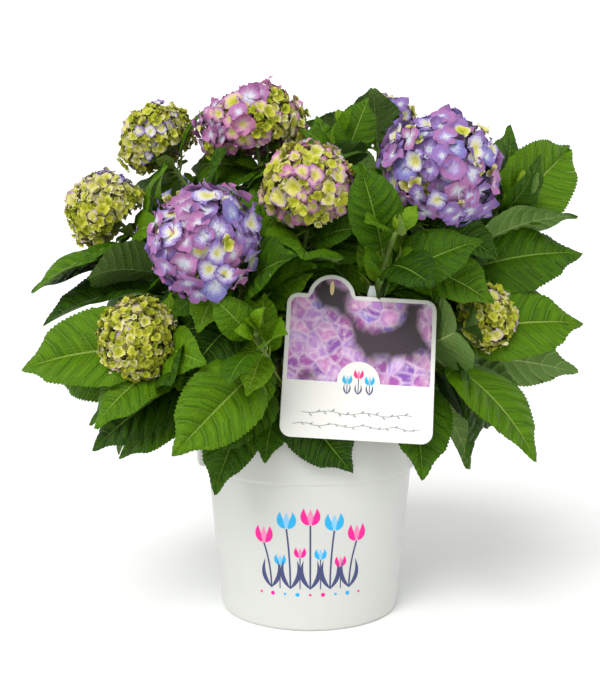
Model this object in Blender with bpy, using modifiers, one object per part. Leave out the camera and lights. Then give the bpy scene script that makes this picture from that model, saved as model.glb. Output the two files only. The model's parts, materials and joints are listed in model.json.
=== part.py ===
"""A mophead hydrangea in a round plastic container, with its plant label on a stake.

Everything is in metres, +Z up, with the origin under the middle of the container.
The shrub is built as it grows. A short woody trunk stands in the potting soil and ends in
knuckles. Canes rise from the knuckles, each one into its own mass of foliage, where pairs of
opposite leaves stand crosswise up the stem. Most stems end in a round flower head.
"""

import math
import random
from typing import NamedTuple

import bmesh
import bpy
import numpy as np
from mathutils import Matrix, Vector
from mathutils.bvhtree import BVHTree
from mathutils.geometry import interpolate_bezier

GAP = 0.0003  # between pieces that touch
UP = Vector((0, 0, 1))

# Container
POT_HEIGHT = 0.200
FOOT_RADIUS = 0.0953
STEP_HEIGHT = 0.152
STEP_RADIUS = 0.1095
STEP_OUT = 0.0012
RIM_RADIUS = 0.1120
WALL = 0.0026
FLOOR = 0.004
FOOT_ROUND = 0.004
LUG_REACH = 0.0105
LUG_LOW = 0.155
LUG_ARC = math.radians(44)
POT_SIDES = 36

# Potting soil
SOIL_TOP = 0.180

# Label and its stake
CARD_WIDTH = 0.1445
CARD_HEIGHT = 0.1390
CARD_THICKNESS = 0.0010
CARD_CORNER = 0.0110
ARCH_RADIUS = 0.0230
ARCH_RISE = 0.0196
ARCH_ASIDE = -0.0295
CARD_MIDDLE = Vector((0.0460, -0.1225, 0.2690))
CARD_TURN = math.radians(3.4)
CARD_LEAN = math.radians(14.6)
CARD_VIEW = 0.070
STAKE_WIDTH = 0.0090
STAKE_THICKNESS = 0.0016
STAKE_TOP = Vector((0.0596, -0.1020, 0.3465))
STAKE_FOOT = Vector((0.0520, -0.0820, 0.1150))

# Trunk
TRUNK_RADIUS = 0.0125
FLARE_RADIUS = 0.0185
FLARE_HEIGHT = 0.005
TRUNK_HEIGHT = 0.030
TRUNK_RINGS = (0.0, 0.1, 0.27, 0.53, 1.0)
TRUNK_LEAN = Vector((0.003, -0.002))
FORK = 0.66
ARM_THINNING = 0.85
ARM_SAG = 0.012
KNUCKLE_RADIUS = 0.0125
KNUCKLE_RING = 0.031
KNUCKLES_AROUND = 5
KNUCKLE_HEIGHT = 0.224
MIDDLE_KNUCKLE_HEIGHT = 0.240
ARM_RADIUS = 0.0085

# Canes and the stems that they run into
CANE_RADIUS = 0.0036
STEM_RADIUS = 0.0027
TIP_RADIUS = 0.0020
LEAFY_SHARE = 0.66
LONGEST_LEAFY = 0.195
MEETING = 0.004
STEM_STEPS = 5
CANE_SPREAD = math.radians(46)
STEEP_REACH = 0.152  # shoots closer to the middle than this rise from the middle knuckle
RING_LOW = 0.16  # canes leave the ring of knuckles as from a point at this height
MIDDLE_LOW = 0.15
LEAVING_PULL = 0.42
ARRIVING_PULL = 0.36
BOW_STEP = 0.05
BLOOMS_LOOK_FROM = 0.24
TIPS_LOOK_FROM = 0.16
STEM_IN_HEAD = 0.35

# Pairs of leaves down each stem
SIZES = (0.72, 0.90, 1.0, 1.0, 1.0)  # from the top pair down
YOUNG_SIZE = 0.30
YOUNG_CLOSED = 0.55
NECK = 0.006
HEAD_NECK = 0.45
FIRST_PAIR = 0.12
DROOP = 0.18
LOWER_DROOP = 0.10
LEAF_ANGLE = math.radians(62)
FLATTER = [math.radians(a) for a in (20, 10, 0, 0, 0)]
TURN_VARIES = 0.2
SIZE_VARIES = (0.92, 1.06)
ARCH_VARIES = (0.7, 1.2)
ALONG_PULL = 0.35
UP_PULL = 0.35
OUTER_PULL = 0.6
SIDE_PULL = 0.5
MIDDLE_DEPTH = 0.035
SIDE_LIGHT = 0.4
CLEARANCE = 0.0006
STEM_CLEARANCE = 0.0010
KNUCKLE_CLEARANCE = 0.0001
TRIES = 60
PATIENCE = 12
NUDGE_SPIN = 2.4
NUDGE_REACH = 0.085
NUDGE_SHRINK = 0.006
SEED = 7

# Leaves
WIDTH_TO_LENGTH = 0.64
LEAF_THICKNESS = 0.020
BASE_POWER = 0.62
TIP_POWER = 0.95
STALK = 0.022
SHORTEST_STALK = 0.45
STALK_GROWTH = 0.6
STALK_RADIUS = 0.0015
STALK_TO_LEAF = 0.025
STALK_DEPTH = 1.7
FOLD = math.radians(15)
ARCH = math.radians(44)
STATIONS = (0.17, 0.44, 0.76)
FEW_STATIONS = (0.26, 0.64)
SMALL_LEAF = 0.098
LONGEST_LEAF = 0.132
LONGEST_STALK = 0.042
AIM_FROM = 0.05  # leaves shorter than this aren't turned to a place

# Flower heads
FLORETS = 18
HEAD_DEPTH = 0.90
FLORET_CUP = 0.91
FLORET_PROUD = (0.95, 1.02)
SEPAL_PROUD = 1.04
CLUSTER_END = math.radians(122)
UNDERSIDE = math.radians(146)
UNDERSIDE_REACH = 0.76
UNDERSIDE_DEPTH = 0.58
UNDERSIDE_POINTS = 5


class Shoot(NamedTuple):
    """A stem from a knuckle to its flower head, or to its tip where bloom is 0.
    tips are places that its furthest and foremost leaves reach."""

    name: str
    head: tuple
    bloom: float
    pairs: int
    twist: float
    leaf: float
    tips: tuple = ()


SHOOTS = (
    Shoot("front_left", (-0.097, -0.160, 0.386), 0.0515, 5, 20, 0.116, (
        (-0.067, -0.170, 0.305), (-0.109, -0.170, 0.268), (-0.139, -0.150, 0.330), (-0.046, -0.120, 0.427),
    )),
    Shoot("front_right", (0.126, -0.090, 0.456), 0.0580, 5, 65, 0.122, (
        (0.142, -0.020, 0.525), (0.175, -0.110, 0.330), (0.195, -0.085, 0.389), (0.110, -0.110, 0.370),
    )),
    Shoot("front_middle", (-0.002, -0.110, 0.440), 0.0440, 5, 40, 0.116, (
        (-0.053, -0.135, 0.366), (0.045, -0.130, 0.410),
    )),
    Shoot("centre_leafy", (0.079, -0.128, 0.396), 0.0, 5, 30, 0.104, (
        (0.042, -0.150, 0.456), (0.100, -0.200, 0.343), (-0.038, -0.070, 0.392), (0.177, -0.120, 0.365),
    )),
    Shoot("low_left", (-0.163, -0.130, 0.296), 0.0400, 5, 10, 0.116, (
        (-0.303, -0.080, 0.270), (-0.276, -0.120, 0.268), (-0.199, -0.170, 0.221),
        (-0.222, -0.110, 0.200), (-0.189, -0.090, 0.173), (-0.102, -0.160, 0.215),
    )),
    Shoot("low_right", (0.174, -0.070, 0.314), 0.0330, 5, 50, 0.120, (
        (0.218, -0.140, 0.182), (0.280, -0.050, 0.311), (0.249, 0.000, 0.337),
        (0.112, -0.140, 0.172), (0.159, -0.090, 0.175), (0.157, -0.130, 0.320),
    )),
    Shoot("left", (-0.211, -0.030, 0.423), 0.0400, 5, 35, 0.108, (
        (-0.285, -0.050, 0.338), (-0.268, -0.100, 0.327), (-0.215, -0.120, 0.333), (-0.152, -0.090, 0.400),
    )),
    Shoot("top_left", (-0.166, 0.030, 0.502), 0.0410, 5, 75, 0.104, (
        (-0.145, -0.040, 0.436),
    )),
    Shoot("top_middle", (-0.062, 0.000, 0.520), 0.0560, 5, 15, 0.112, (
        (-0.048, -0.070, 0.460), (-0.112, -0.050, 0.440), (-0.005, -0.070, 0.450),
    )),
    Shoot("top_right", (0.091, 0.090, 0.535), 0.0380, 5, 55, 0.104),
    Shoot("right_leafy", (0.212, -0.030, 0.440), 0.0, 5, 10, 0.104, (
        (0.235, -0.050, 0.477), (0.291, 0.020, 0.489), (0.215, 0.000, 0.514), (0.268, -0.060, 0.418),
        (0.297, -0.020, 0.344), (0.255, 0.030, 0.344),
    )),
    Shoot("crown_leafy", (0.036, -0.020, 0.505), 0.0, 5, 60, 0.092, (
        (0.060, -0.020, 0.541), (0.041, -0.080, 0.456), (-0.007, -0.040, 0.506),
    )),
    Shoot("low_middle_leafy", (-0.050, -0.175, 0.305), 0.0, 5, 45, 0.092, (
        (-0.121, -0.200, 0.198), (0.010, -0.132, 0.200), (0.033, -0.128, 0.162), (-0.071, -0.220, 0.265),
        (-0.024, -0.175, 0.315),
    )),
    Shoot("back_left", (-0.150, 0.140, 0.420), 0.0520, 5, 25, 0.118),
    Shoot("back_middle", (0.000, 0.165, 0.470), 0.0560, 5, 70, 0.118),
    Shoot("back_right", (0.160, 0.120, 0.400), 0.0500, 5, 40, 0.120),
    Shoot("back_low", (0.030, 0.215, 0.320), 0.0420, 4, 5, 0.118),
    Shoot("back_leafy", (-0.110, 0.205, 0.300), 0.0, 5, 50, 0.112),
    Shoot("low_back_left", (-0.200, 0.080, 0.285), 0.0, 5, 20, 0.112),
    Shoot("low_back_right", (0.180, 0.075, 0.275), 0.0, 5, 70, 0.112, (
        (0.300, 0.020, 0.247),
    )),
)


def clear_scene():
    for old in list(bpy.data.objects):
        bpy.data.objects.remove(old, do_unlink=True)


def new_collection(name):
    collection = bpy.data.collections.new(name)
    bpy.context.scene.collection.children.link(collection)
    return collection


def material(name, colour, roughness):
    made = bpy.data.materials.new(name)
    made.use_nodes = True
    surface = made.node_tree.nodes["Principled BSDF"]
    surface.inputs["Base Color"].default_value = (*colour, 1.0)
    surface.inputs["Roughness"].default_value = roughness
    return made


def bare_object(name, mesh, collection):
    made = bpy.data.objects.new(name, mesh)
    collection.objects.link(made)
    return made


def mesh_object(name, points, faces, collection):
    mesh = bpy.data.meshes.new(name)
    mesh.from_pydata([tuple(p) for p in points], [], faces)
    mesh.update()
    return bare_object(name, mesh, collection)


def evaluated_mesh(obj, name):
    """The object's mesh with its modifiers applied and a curve's loose caps welded."""
    graph = bpy.context.evaluated_depsgraph_get()
    mesh = bpy.data.meshes.new_from_object(obj.evaluated_get(graph))
    mesh.name = name
    work = bmesh.new()
    work.from_mesh(mesh)
    bmesh.ops.remove_doubles(work, verts=work.verts, dist=1e-6)
    work.to_mesh(mesh)
    work.free()
    return mesh


def solid_from(obj, name, collection):
    """Swaps an object for a plain mesh of its evaluated shape."""
    bpy.context.view_layer.update()
    mesh = evaluated_mesh(obj, name)
    place = obj.matrix_world.copy()
    bpy.data.objects.remove(obj, do_unlink=True)
    made = bare_object(name, mesh, collection)
    made.matrix_world = place
    return made


def union_of(base, others, collection):
    """Joins a collection of meshes into the base with one Boolean, then removes them."""
    modifier = base.modifiers.new("joined", "BOOLEAN")
    modifier.operation = "UNION"
    modifier.operand_type = "COLLECTION"
    modifier.collection = others
    modifier.solver = "MANIFOLD"
    joined = solid_from(base, base.name, collection)
    for old in list(others.objects):
        bpy.data.objects.remove(old, do_unlink=True)
    bpy.data.collections.remove(others)
    return joined


def keep_largest_body(obj):
    """Drops loose scraps and the skins of sealed hollows that a union leaves."""
    work = bmesh.new()
    work.from_mesh(obj.data)
    waiting = set(work.faces)
    bodies = []
    while waiting:
        body = []
        border = [waiting.pop()]
        while border:
            face = border.pop()
            body.append(face)
            beside = {other for edge in face.edges for other in edge.link_faces} & waiting
            waiting -= beside
            border += beside
        bodies.append(body)
    largest = max(bodies, key=len)
    scraps = [face for body in bodies if body is not largest for face in body]
    bmesh.ops.delete(work, geom=scraps, context="FACES")
    work.to_mesh(obj.data)
    work.free()


# The growth rule

class Path:
    """A smooth stem from start to end, measured along its length."""

    def __init__(self, start, rising, end, arriving, bow):
        reach = (end - start).length
        handles = start + (rising + bow) * reach * LEAVING_PULL, end - arriving * reach * ARRIVING_PULL
        self.points = interpolate_bezier(start, *handles, end, 33)
        steps = [(b - a).length for a, b in zip(self.points, self.points[1:])]
        self.marks = np.concatenate([[0.0], np.cumsum(steps)])
        self.length = float(self.marks[-1])
        self.leafy_start = self.length - min(self.length * LEAFY_SHARE, LONGEST_LEAFY)

    def at(self, distance):
        distance = min(max(distance, 0.0), self.length)
        place = min(max(int(np.searchsorted(self.marks, distance)), 1), len(self.points) - 1)
        share = (distance - self.marks[place - 1]) / (self.marks[place] - self.marks[place - 1])
        return self.points[place - 1].lerp(self.points[place], share)

    def along(self, distance):
        step = 0.002
        return (self.at(distance + step) - self.at(distance - step)).normalized()

    def between(self, first, last, count):
        return [self.at(first + (last - first) * i / (count - 1)) for i in range(count)]


def facing(shoot):
    """The way that a flower head or a tip looks: up, and out from the middle of the shrub."""
    middle = Vector((0, 0, BLOOMS_LOOK_FROM if shoot.bloom else TIPS_LOOK_FROM))
    return (Vector(shoot.head) - middle).normalized()


def knuckle_places():
    """The middle knuckle, then the ring of knuckles round it."""
    turns = [math.tau * (i + 0.25) / KNUCKLES_AROUND for i in range(KNUCKLES_AROUND)]
    ring = [
        Vector((KNUCKLE_RING * math.cos(t), KNUCKLE_RING * math.sin(t), KNUCKLE_HEIGHT))
        for t in turns
    ]
    return [Vector((0, 0, MIDDLE_KNUCKLE_HEIGHT)), *ring]


def spread(ways):
    """Turns the ways that leave one knuckle until none is closer to another than CANE_SPREAD."""
    for _ in range(80):
        for a in range(len(ways)):
            for b in range(a):
                short = CANE_SPREAD - ways[a].angle(ways[b])
                if short > 0:
                    push = (ways[a] - ways[b]).normalized() * short / 2
                    ways[a] = (ways[a] + push).normalized()
                    ways[b] = (ways[b] - push).normalized()
    return ways


def rising_ways():
    """For each shoot, the knuckle that it rises from and the way that it leaves it."""
    knuckles = knuckle_places()
    homes = {}
    for shoot in SHOOTS:
        flat = Vector(shoot.head).xy
        steep = flat.length < STEEP_REACH
        home = 0 if steep else max(range(1, len(knuckles)), key=lambda i: knuckles[i].xy.dot(flat))
        homes.setdefault(home, []).append(shoot)
    found = {}
    for home, shoots in homes.items():
        low = Vector((0, 0, RING_LOW if home else MIDDLE_LOW))
        ways = [(Vector(shoot.head) - low).normalized() for shoot in shoots]
        for shoot, way in zip(shoots, spread(ways)):
            found[shoot.name] = knuckles[home], way
    return found


class Crowd:
    """What stands in the shrub so far, to keep each new stem and leaf clear of it."""

    def __init__(self):
        self.trees = []
        self.owners = []
        self.centres = np.zeros((0, 3))
        self.radii = np.zeros(0)

    def add(self, owner, points, faces):
        centre = sum(points, Vector()) / len(points)
        self.trees.append(BVHTree.FromPolygons(points, faces))
        self.owners.append(owner)
        self.centres = np.vstack([self.centres, centre])
        self.radii = np.append(self.radii, max((p - centre).length for p in points))

    def meets(self, points, faces):
        """The owners of all that these faces cut through."""
        centre = sum(points, Vector()) / len(points)
        radius = max((p - centre).length for p in points)
        apart = np.linalg.norm(self.centres - np.array(centre), axis=1)
        tree = BVHTree.FromPolygons(points, faces)
        near = np.flatnonzero(apart < self.radii + radius)
        return {self.owners[i] for i in near if tree.overlap(self.trees[i])}


def tube(places, radii, sides=6):
    """A closed tapering tube as points and faces, to test what a stem would touch."""
    points = []
    for i, (place, radius) in enumerate(zip(places, radii)):
        along = places[min(i + 1, len(places) - 1)] - places[max(i - 1, 0)]
        turn = UP.rotation_difference(along)
        for k in range(sides):
            angle = math.tau * k / sides
            points.append(place + turn @ Vector((math.cos(angle), math.sin(angle), 0)) * radius)
    faces = [tuple(range(sides)), tuple(range(len(points) - sides, len(points)))]
    for i in range(len(places) - 1):
        for k in range(sides):
            a, b = i * sides + k, i * sides + (k + 1) % sides
            faces.append((a, b, b + sides, a + sides))
    return points, faces


def cane_points(path):
    """Points and radii from the knuckle to where the foliage starts, its last step short
    so that its end is square to the stem that goes on from it."""
    places = path.between(0, path.leafy_start - MEETING, STEM_STEPS)
    places.append(path.at(path.leafy_start - GAP))
    return places, np.linspace(CANE_RADIUS, STEM_RADIUS, len(places))


def stem_points(path):
    places = [path.at(path.leafy_start)]
    places += path.between(path.leafy_start + MEETING, path.length, STEM_STEPS)
    return places, np.linspace(STEM_RADIUS, TIP_RADIUS, len(places))


def grow_stems(crowd):
    """Each shoot's path from its knuckle to its head, bowed aside where another is in its way."""
    ways = rising_ways()
    paths = {}
    for shoot in SHOOTS:
        chance = random.Random(f"{SEED} {shoot.name} stem")
        knuckle, rising = ways[shoot.name]
        end = Vector(shoot.head) - facing(shoot) * shoot.bloom * STEM_IN_HEAD
        for attempt in range(TRIES):
            bow = Vector([chance.uniform(-1, 1) for _ in range(3)]) * BOW_STEP * attempt
            path = Path(knuckle + rising * (KNUCKLE_RADIUS + GAP), rising, end, facing(shoot), bow)
            cane, stem = cane_points(path), stem_points(path)
            met = crowd.meets(*tube(stem[0], stem[1] + STEM_CLEARANCE)) - {shoot.name}
            clear = np.array([KNUCKLE_CLEARANCE, *[STEM_CLEARANCE] * STEM_STEPS])
            if not met | crowd.meets(*tube(cane[0], cane[1] + clear)):
                break
        paths[shoot.name] = path
        crowd.add("cane_" + shoot.name, *tube(*cane))
        crowd.add(shoot.name, *tube(*stem))
    return paths


class Leaf(NamedTuple):
    """One leaf, from the middle of its stem: way runs from the blade's base to its tip."""

    root: Vector
    way: Vector
    face: Vector
    length: float
    stalk: float
    arch: float


def leaf_frame(leaf):
    """Blade axes as a matrix: X across, Y from base to tip, Z out of the upper side."""
    face = (leaf.face - leaf.way * leaf.way.dot(leaf.face)).normalized()
    frame = Matrix((leaf.way.cross(face), leaf.way, face)).transposed().to_4x4()
    half = leaf.arch / 2
    leaving = leaf.way * math.cos(half) + face * math.sin(half)
    frame.translation = leaf.root + leaving * leaf.stalk
    return frame


def half_width(s):
    """The blade's half width at a share of its length, 1 at the widest."""
    widest = BASE_POWER / (BASE_POWER + TIP_POWER)
    return (s / widest) ** BASE_POWER * ((1 - s) / (1 - widest)) ** TIP_POWER


def midrib(leaf, s):
    """The arching midrib at a share of its length, and the way out of the upper side there."""
    bend = leaf.arch * (s - 0.5)
    half = leaf.arch / 2
    radius = leaf.length / leaf.arch
    place = Vector((0, math.sin(bend) + math.sin(half), math.cos(bend) - math.cos(half))) * radius
    return place, Vector((0, math.sin(bend), math.cos(bend)))


def section(middle, side, normal, thick):
    """Across a leaf: its left edge, the top of its middle, its right edge, and underneath."""
    return [middle - side, middle, middle + side, middle - normal * thick]


def leaf_sections(leaf, swell=0.0):
    """Sections from the blade's base towards its tip, folded up along the midrib.
    swell makes them wider and thicker, to test that the leaf stands clear."""
    frame = leaf_frame(leaf)
    thick = leaf.length * LEAF_THICKNESS + 2 * swell
    widest = leaf.length * WIDTH_TO_LENGTH / 2 + swell
    neck = stalk_radius(leaf) + swell
    sections = [section(Vector((0, 0, swell)), Vector((neck, 0, 0)), UP, neck * STALK_DEPTH)]
    for s in STATIONS if leaf.length > SMALL_LEAF else FEW_STATIONS:
        middle, normal = midrib(leaf, s)
        wide = widest * half_width(s)
        ring = section(middle + normal * swell, Vector((wide * math.cos(FOLD), 0, 0)), normal, thick)
        for edge in (0, 2):
            ring[edge] += normal * (wide * math.sin(FOLD) - swell)
        sections.append(ring)
    return [[frame @ p for p in ring] for ring in sections]


def loft(sections, tip=None):
    """Points and triangles of a skin over sections of four points that closes in a tip,
    or flat on its last section."""
    points = [p for ring in sections for p in ring]
    count = len(points)
    corners = [(k, (k + 1) % 4) for k in range(4)]
    faces = [(2, 1, 0), (3, 2, 0)]
    for a in range(0, count - 4, 4):
        for k, n in corners:
            faces += [(a + k, a + n, a + n + 4), (a + k, a + n + 4, a + k + 4)]
    if tip is None:
        return points, faces + [(count - 4, count - 3, count - 2), (count - 4, count - 2, count - 1)]
    faces += [(count, count - 4 + k, count - 4 + n) for k, n in corners]
    return points + [tip], faces


def leaf_tip(leaf):
    return leaf_frame(leaf) @ midrib(leaf, 1.0)[0]


def blade(leaf, swell=0.0):
    return loft(leaf_sections(leaf, swell), leaf_tip(leaf))


def stalk_radius(leaf):
    return min(STALK_RADIUS, leaf.length * STALK_TO_LEAF)


def stalk_section(leaf, swell=0.0):
    """The section of the leaf's stalk in the middle of its stem."""
    frame = leaf_frame(leaf)
    along = (frame.translation - leaf.root).normalized()
    radius = stalk_radius(leaf) + swell
    side = frame.to_3x3() @ Vector((radius, 0, 0))
    normal = side.cross(along).normalized()
    return section(leaf.root + normal * radius * STALK_DEPTH / 2, side, normal, radius * STALK_DEPTH)


def stalk(leaf, swell=0.0):
    """The stalk alone, from the middle of its stem to the blade."""
    return loft([stalk_section(leaf, swell), leaf_sections(leaf, swell)[0]])


def whole_leaf(leaf):
    """The blade and its stalk as one thin solid."""
    return loft([stalk_section(leaf), *leaf_sections(leaf)], leaf_tip(leaf))


def outside(root, way):
    """Level, out of the crown: away from its middle, and square to the leaf on its outer side."""
    radial = Vector((root.x * SIDE_LIGHT, root.y - MIDDLE_DEPTH, 0))
    side = Vector((way.y, -way.x, 0))
    outer = max(-1.0, min(1.0, side.dot(radial) / MIDDLE_DEPTH))
    return radial.normalized() * OUTER_PULL + side * outer * SIDE_PULL


def leaf_wish(shoot, path, pair, side, chance):
    """How one leaf of an opposite pair would stand with nothing in its way."""
    neck = NECK + shoot.bloom * HEAD_NECK
    span = path.length - neck - path.leafy_start
    distance = path.length - neck - span * (pair + FIRST_PAIR) / shoot.pairs
    along = path.along(distance)
    level = along.cross(UP)
    level = level.normalized() if level.length > 0.05 else Vector((1, 0, 0))
    turn = math.radians(shoot.twist + 90 * pair + 180 * side)
    turn += chance.uniform(-TURN_VARIES, TURN_VARIES)
    outward = Matrix.Rotation(turn, 3, along) @ level
    if shoot.bloom == 0 and pair == 0:
        size, angle, droop = YOUNG_SIZE, LEAF_ANGLE * YOUNG_CLOSED, 0
    else:
        order = pair if shoot.bloom else pair - 1
        size, droop = SIZES[order], DROOP + LOWER_DROOP * order
        angle = LEAF_ANGLE + (FLATTER[pair] if shoot.bloom else 0)
    way = along * math.cos(angle) + outward * math.sin(angle)
    way.z -= droop
    way.normalize()
    size *= chance.uniform(*SIZE_VARIES)
    root = path.at(distance)
    return Leaf(
        root=root,
        way=way,
        face=along * ALONG_PULL + UP * UP_PULL + outside(root, way),
        length=shoot.leaf * size,
        stalk=STALK * (SHORTEST_STALK + STALK_GROWTH * size),
        arch=ARCH * chance.uniform(*ARCH_VARIES),
    )


def aimed(leaf, tip):
    """The leaf turned and sized so that its tip comes to a given place."""
    reach = tip - leaf.root
    stalk_needed = min(max(leaf.stalk, reach.length - LONGEST_LEAF), LONGEST_STALK)
    turned = leaf._replace(way=reach.normalized(), stalk=stalk_needed)
    chord = tip - leaf_frame(turned).translation
    half = leaf.arch / 2
    length = min(chord.length * half / math.sin(half), LONGEST_LEAF)
    return turned._replace(way=chord.normalized(), length=length)


def nudged(leaf, attempt):
    """The leaf turned further from its wish with each attempt, and made a little smaller."""
    spin = attempt * NUDGE_SPIN
    reach = NUDGE_REACH * math.sqrt(attempt)
    level = Vector((leaf.way.y, -leaf.way.x, 0.02)).normalized()
    other = level.cross(leaf.way)
    way = leaf.way + level * reach * math.cos(spin) + other * reach * math.sin(spin)
    return leaf._replace(way=way.normalized(), length=leaf.length * (1 - NUDGE_SHRINK * attempt))


def seat(leaf, owner, crowd):
    """The leaf's first stand that is clear of all, or else of all but its own shoot, or None."""
    spare = None
    for attempt in range(TRIES):
        tried = nudged(leaf, attempt)
        met = crowd.meets(*blade(tried, CLEARANCE))
        met |= crowd.meets(*stalk(tried, CLEARANCE)) - {owner}
        if not met:
            return tried
        if met == {owner} and spare is None:
            spare = tried
        if spare and attempt > PATIENCE:
            break
    return spare


def grow_leaves(paths, crowd):
    """Every leaf of every shoot: first those with a place to reach, then the rest by rule."""
    wishes = {}
    for shoot in SHOOTS:
        chance = random.Random(f"{SEED} {shoot.name} leaves")
        for pair in range(shoot.pairs):
            for side in (0, 1):
                wish = leaf_wish(shoot, paths[shoot.name], pair, side, chance)
                wishes[shoot.name, pair, side] = wish
    grown = {shoot.name: [] for shoot in SHOOTS}

    def place(name, wish):
        leaf = seat(wish, name, crowd)
        if leaf:
            grown[name].append(leaf)
            crowd.add(name, *blade(leaf))
            crowd.add(name, *stalk(leaf))

    for shoot in SHOOTS:
        for tip in map(Vector, shoot.tips):
            own = [key for key in wishes if key[0] == shoot.name and wishes[key].length > AIM_FROM]
            if not own:
                continue
            nearest = min(own, key=lambda key: (tip - leaf_tip(wishes[key])).length)
            place(shoot.name, aimed(wishes.pop(nearest), tip))
    for (name, _, _), wish in wishes.items():
        place(name, wish)
    return grown


def head_points(shoot):
    """A flower head's surface about its own middle: florets, their sepal tips and the underside."""
    chance = random.Random(f"{SEED} {shoot.name} head")
    golden = math.pi * (3 - math.sqrt(5))
    sepal_reach = 1 / math.sqrt(FLORETS)
    points = []
    for i in range(FLORETS):
        height = 1 - (1 - math.cos(CLUSTER_END)) * (i + 0.5) / FLORETS
        flat = math.sqrt(1 - height * height)
        place = Vector((flat * math.cos(golden * i), flat * math.sin(golden * i), height))
        turn = Matrix.Rotation(chance.uniform(0, math.pi / 2), 3, place)
        across = turn @ place.orthogonal().normalized()
        proud = chance.uniform(*FLORET_PROUD)
        points.append(place * proud * FLORET_CUP)
        for k in range(4):
            way = Matrix.Rotation(math.pi / 2 * k, 3, place) @ across
            tip = proud * chance.uniform(FLORET_CUP, SEPAL_PROUD)
            points.append((place + way * sepal_reach).normalized() * tip)
    flat, height = math.sin(UNDERSIDE), math.cos(UNDERSIDE)
    for k in range(UNDERSIDE_POINTS):
        turn = math.tau * k / UNDERSIDE_POINTS
        low = Vector((flat * math.cos(turn), flat * math.sin(turn), height))
        points.append(low * UNDERSIDE_REACH)
    return [*points, Vector((0, 0, -UNDERSIDE_DEPTH))]


def head_surface(shoot):
    """The flower head in place, as points and faces: a knobbly dome."""
    points = head_points(shoot)
    hull = bmesh.new()
    for index, p in enumerate(points):
        hull.verts.new(p.normalized()).index = index
    bmesh.ops.convex_hull(hull, input=list(hull.verts))
    faces = [tuple(v.index for v in face.verts) for face in hull.faces]
    used = sorted({index for face in faces for index in face})
    hull.free()
    turn = UP.rotation_difference(facing(shoot)).to_matrix()
    depth = Matrix.Diagonal((1, 1, HEAD_DEPTH))
    placed = [Vector(shoot.head) + turn @ (depth @ points[i]) * shoot.bloom for i in used]
    renamed = {old: new for new, old in enumerate(used)}
    return placed, [tuple(renamed[i] for i in face) for face in faces]


# Solids

def revolved(name, profile, collection, arc=math.tau, steps=POT_SIDES):
    """A turned solid from a closed profile of (radius, height) points."""
    edges = [(i, (i + 1) % len(profile)) for i in range(len(profile))]
    mesh = bpy.data.meshes.new(name)
    mesh.from_pydata([(r, 0, z) for r, z in profile], edges, [])
    made = bare_object(name, mesh, collection)
    screw = made.modifiers.new("turned", "SCREW")
    screw.angle = arc
    screw.steps = screw.render_steps = steps
    screw.use_merge_vertices = arc == math.tau
    screw.merge_threshold = 0.00001
    return made


def wall_radius(z):
    """The container's outer radius at a height, without its step and grips."""
    if z < STEP_HEIGHT:
        return FOOT_RADIUS + (STEP_RADIUS - FOOT_RADIUS) * z / STEP_HEIGHT
    share = (z - STEP_HEIGHT) / (POT_HEIGHT - STEP_HEIGHT)
    return STEP_RADIUS + STEP_OUT + (RIM_RADIUS - STEP_RADIUS - STEP_OUT) * share


def inner_radius(z):
    return wall_radius(z) - WALL


def outward_faces(obj):
    """Turns all faces out."""
    work = bmesh.new()
    work.from_mesh(obj.data)
    bmesh.ops.recalc_face_normals(work, faces=work.faces)
    work.to_mesh(obj.data)
    work.free()


def grip(sign, collection):
    """A grip that bulges from the collar on one side, with rounded ends."""
    inner = RIM_RADIUS - WALL
    outer = RIM_RADIUS + LUG_REACH
    profile = [(outer, POT_HEIGHT - 0.001), (outer, LUG_LOW + 0.004), (outer - 0.004, LUG_LOW),
               (inner + 0.0012, LUG_LOW), (inner + 0.0012, POT_HEIGHT - 0.001)]
    made = revolved("grip", profile, collection, LUG_ARC, 8)
    made.rotation_euler.z = -LUG_ARC / 2 + (0 if sign > 0 else math.pi)
    bpy.context.view_layer.update()
    solid = solid_from(made, "grip", collection)
    work = bmesh.new()
    work.from_mesh(solid.data)
    bmesh.ops.holes_fill(work, edges=work.edges)
    bmesh.ops.recalc_face_normals(work, faces=work.faces)
    work.to_mesh(solid.data)
    work.free()
    return solid


def make_pot(parts):
    steps = ((FOOT_RADIUS - FOOT_ROUND, 0.0), (FOOT_RADIUS - FOOT_ROUND * 0.3, FOOT_ROUND * 0.3))
    outer = [*steps, (wall_radius(FOOT_ROUND), FOOT_ROUND), (STEP_RADIUS, STEP_HEIGHT),
             (STEP_RADIUS + STEP_OUT, STEP_HEIGHT + STEP_OUT), (RIM_RADIUS, POT_HEIGHT - 0.001),
             (RIM_RADIUS - 0.0008, POT_HEIGHT)]
    inner = [(RIM_RADIUS - WALL, POT_HEIGHT), (inner_radius(STEP_HEIGHT), STEP_HEIGHT),
             (inner_radius(FLOOR), FLOOR)]
    profile = [(0, 0), *outer, *inner, (0, FLOOR)]
    pot = solid_from(revolved("pot", profile[::-1], parts), "pot", parts)
    outward_faces(pot)
    grips = new_collection("grips")
    grip(1, grips)
    grip(-1, grips)
    return union_of(pot, grips, parts)


def make_soil(parts):
    edge = inner_radius(SOIL_TOP) - GAP
    low = FLOOR + GAP
    profile = [(0, low), (inner_radius(low) - GAP, low), (inner_radius(STEP_HEIGHT) - GAP, STEP_HEIGHT),
               (edge, SOIL_TOP - 0.003), (edge - 0.006, SOIL_TOP), (0, SOIL_TOP)]
    soil = solid_from(revolved("soil", profile[::-1], parts), "soil", parts)
    outward_faces(soil)
    cutters = new_collection("cutters")
    slot = stake_box("stake_slot", cutters, GAP)
    slot.hide_render = True
    slot.display_type = "WIRE"
    cut = soil.modifiers.new("stake_slot", "BOOLEAN")
    cut.operation = "DIFFERENCE"
    cut.object = slot
    return soil


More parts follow.
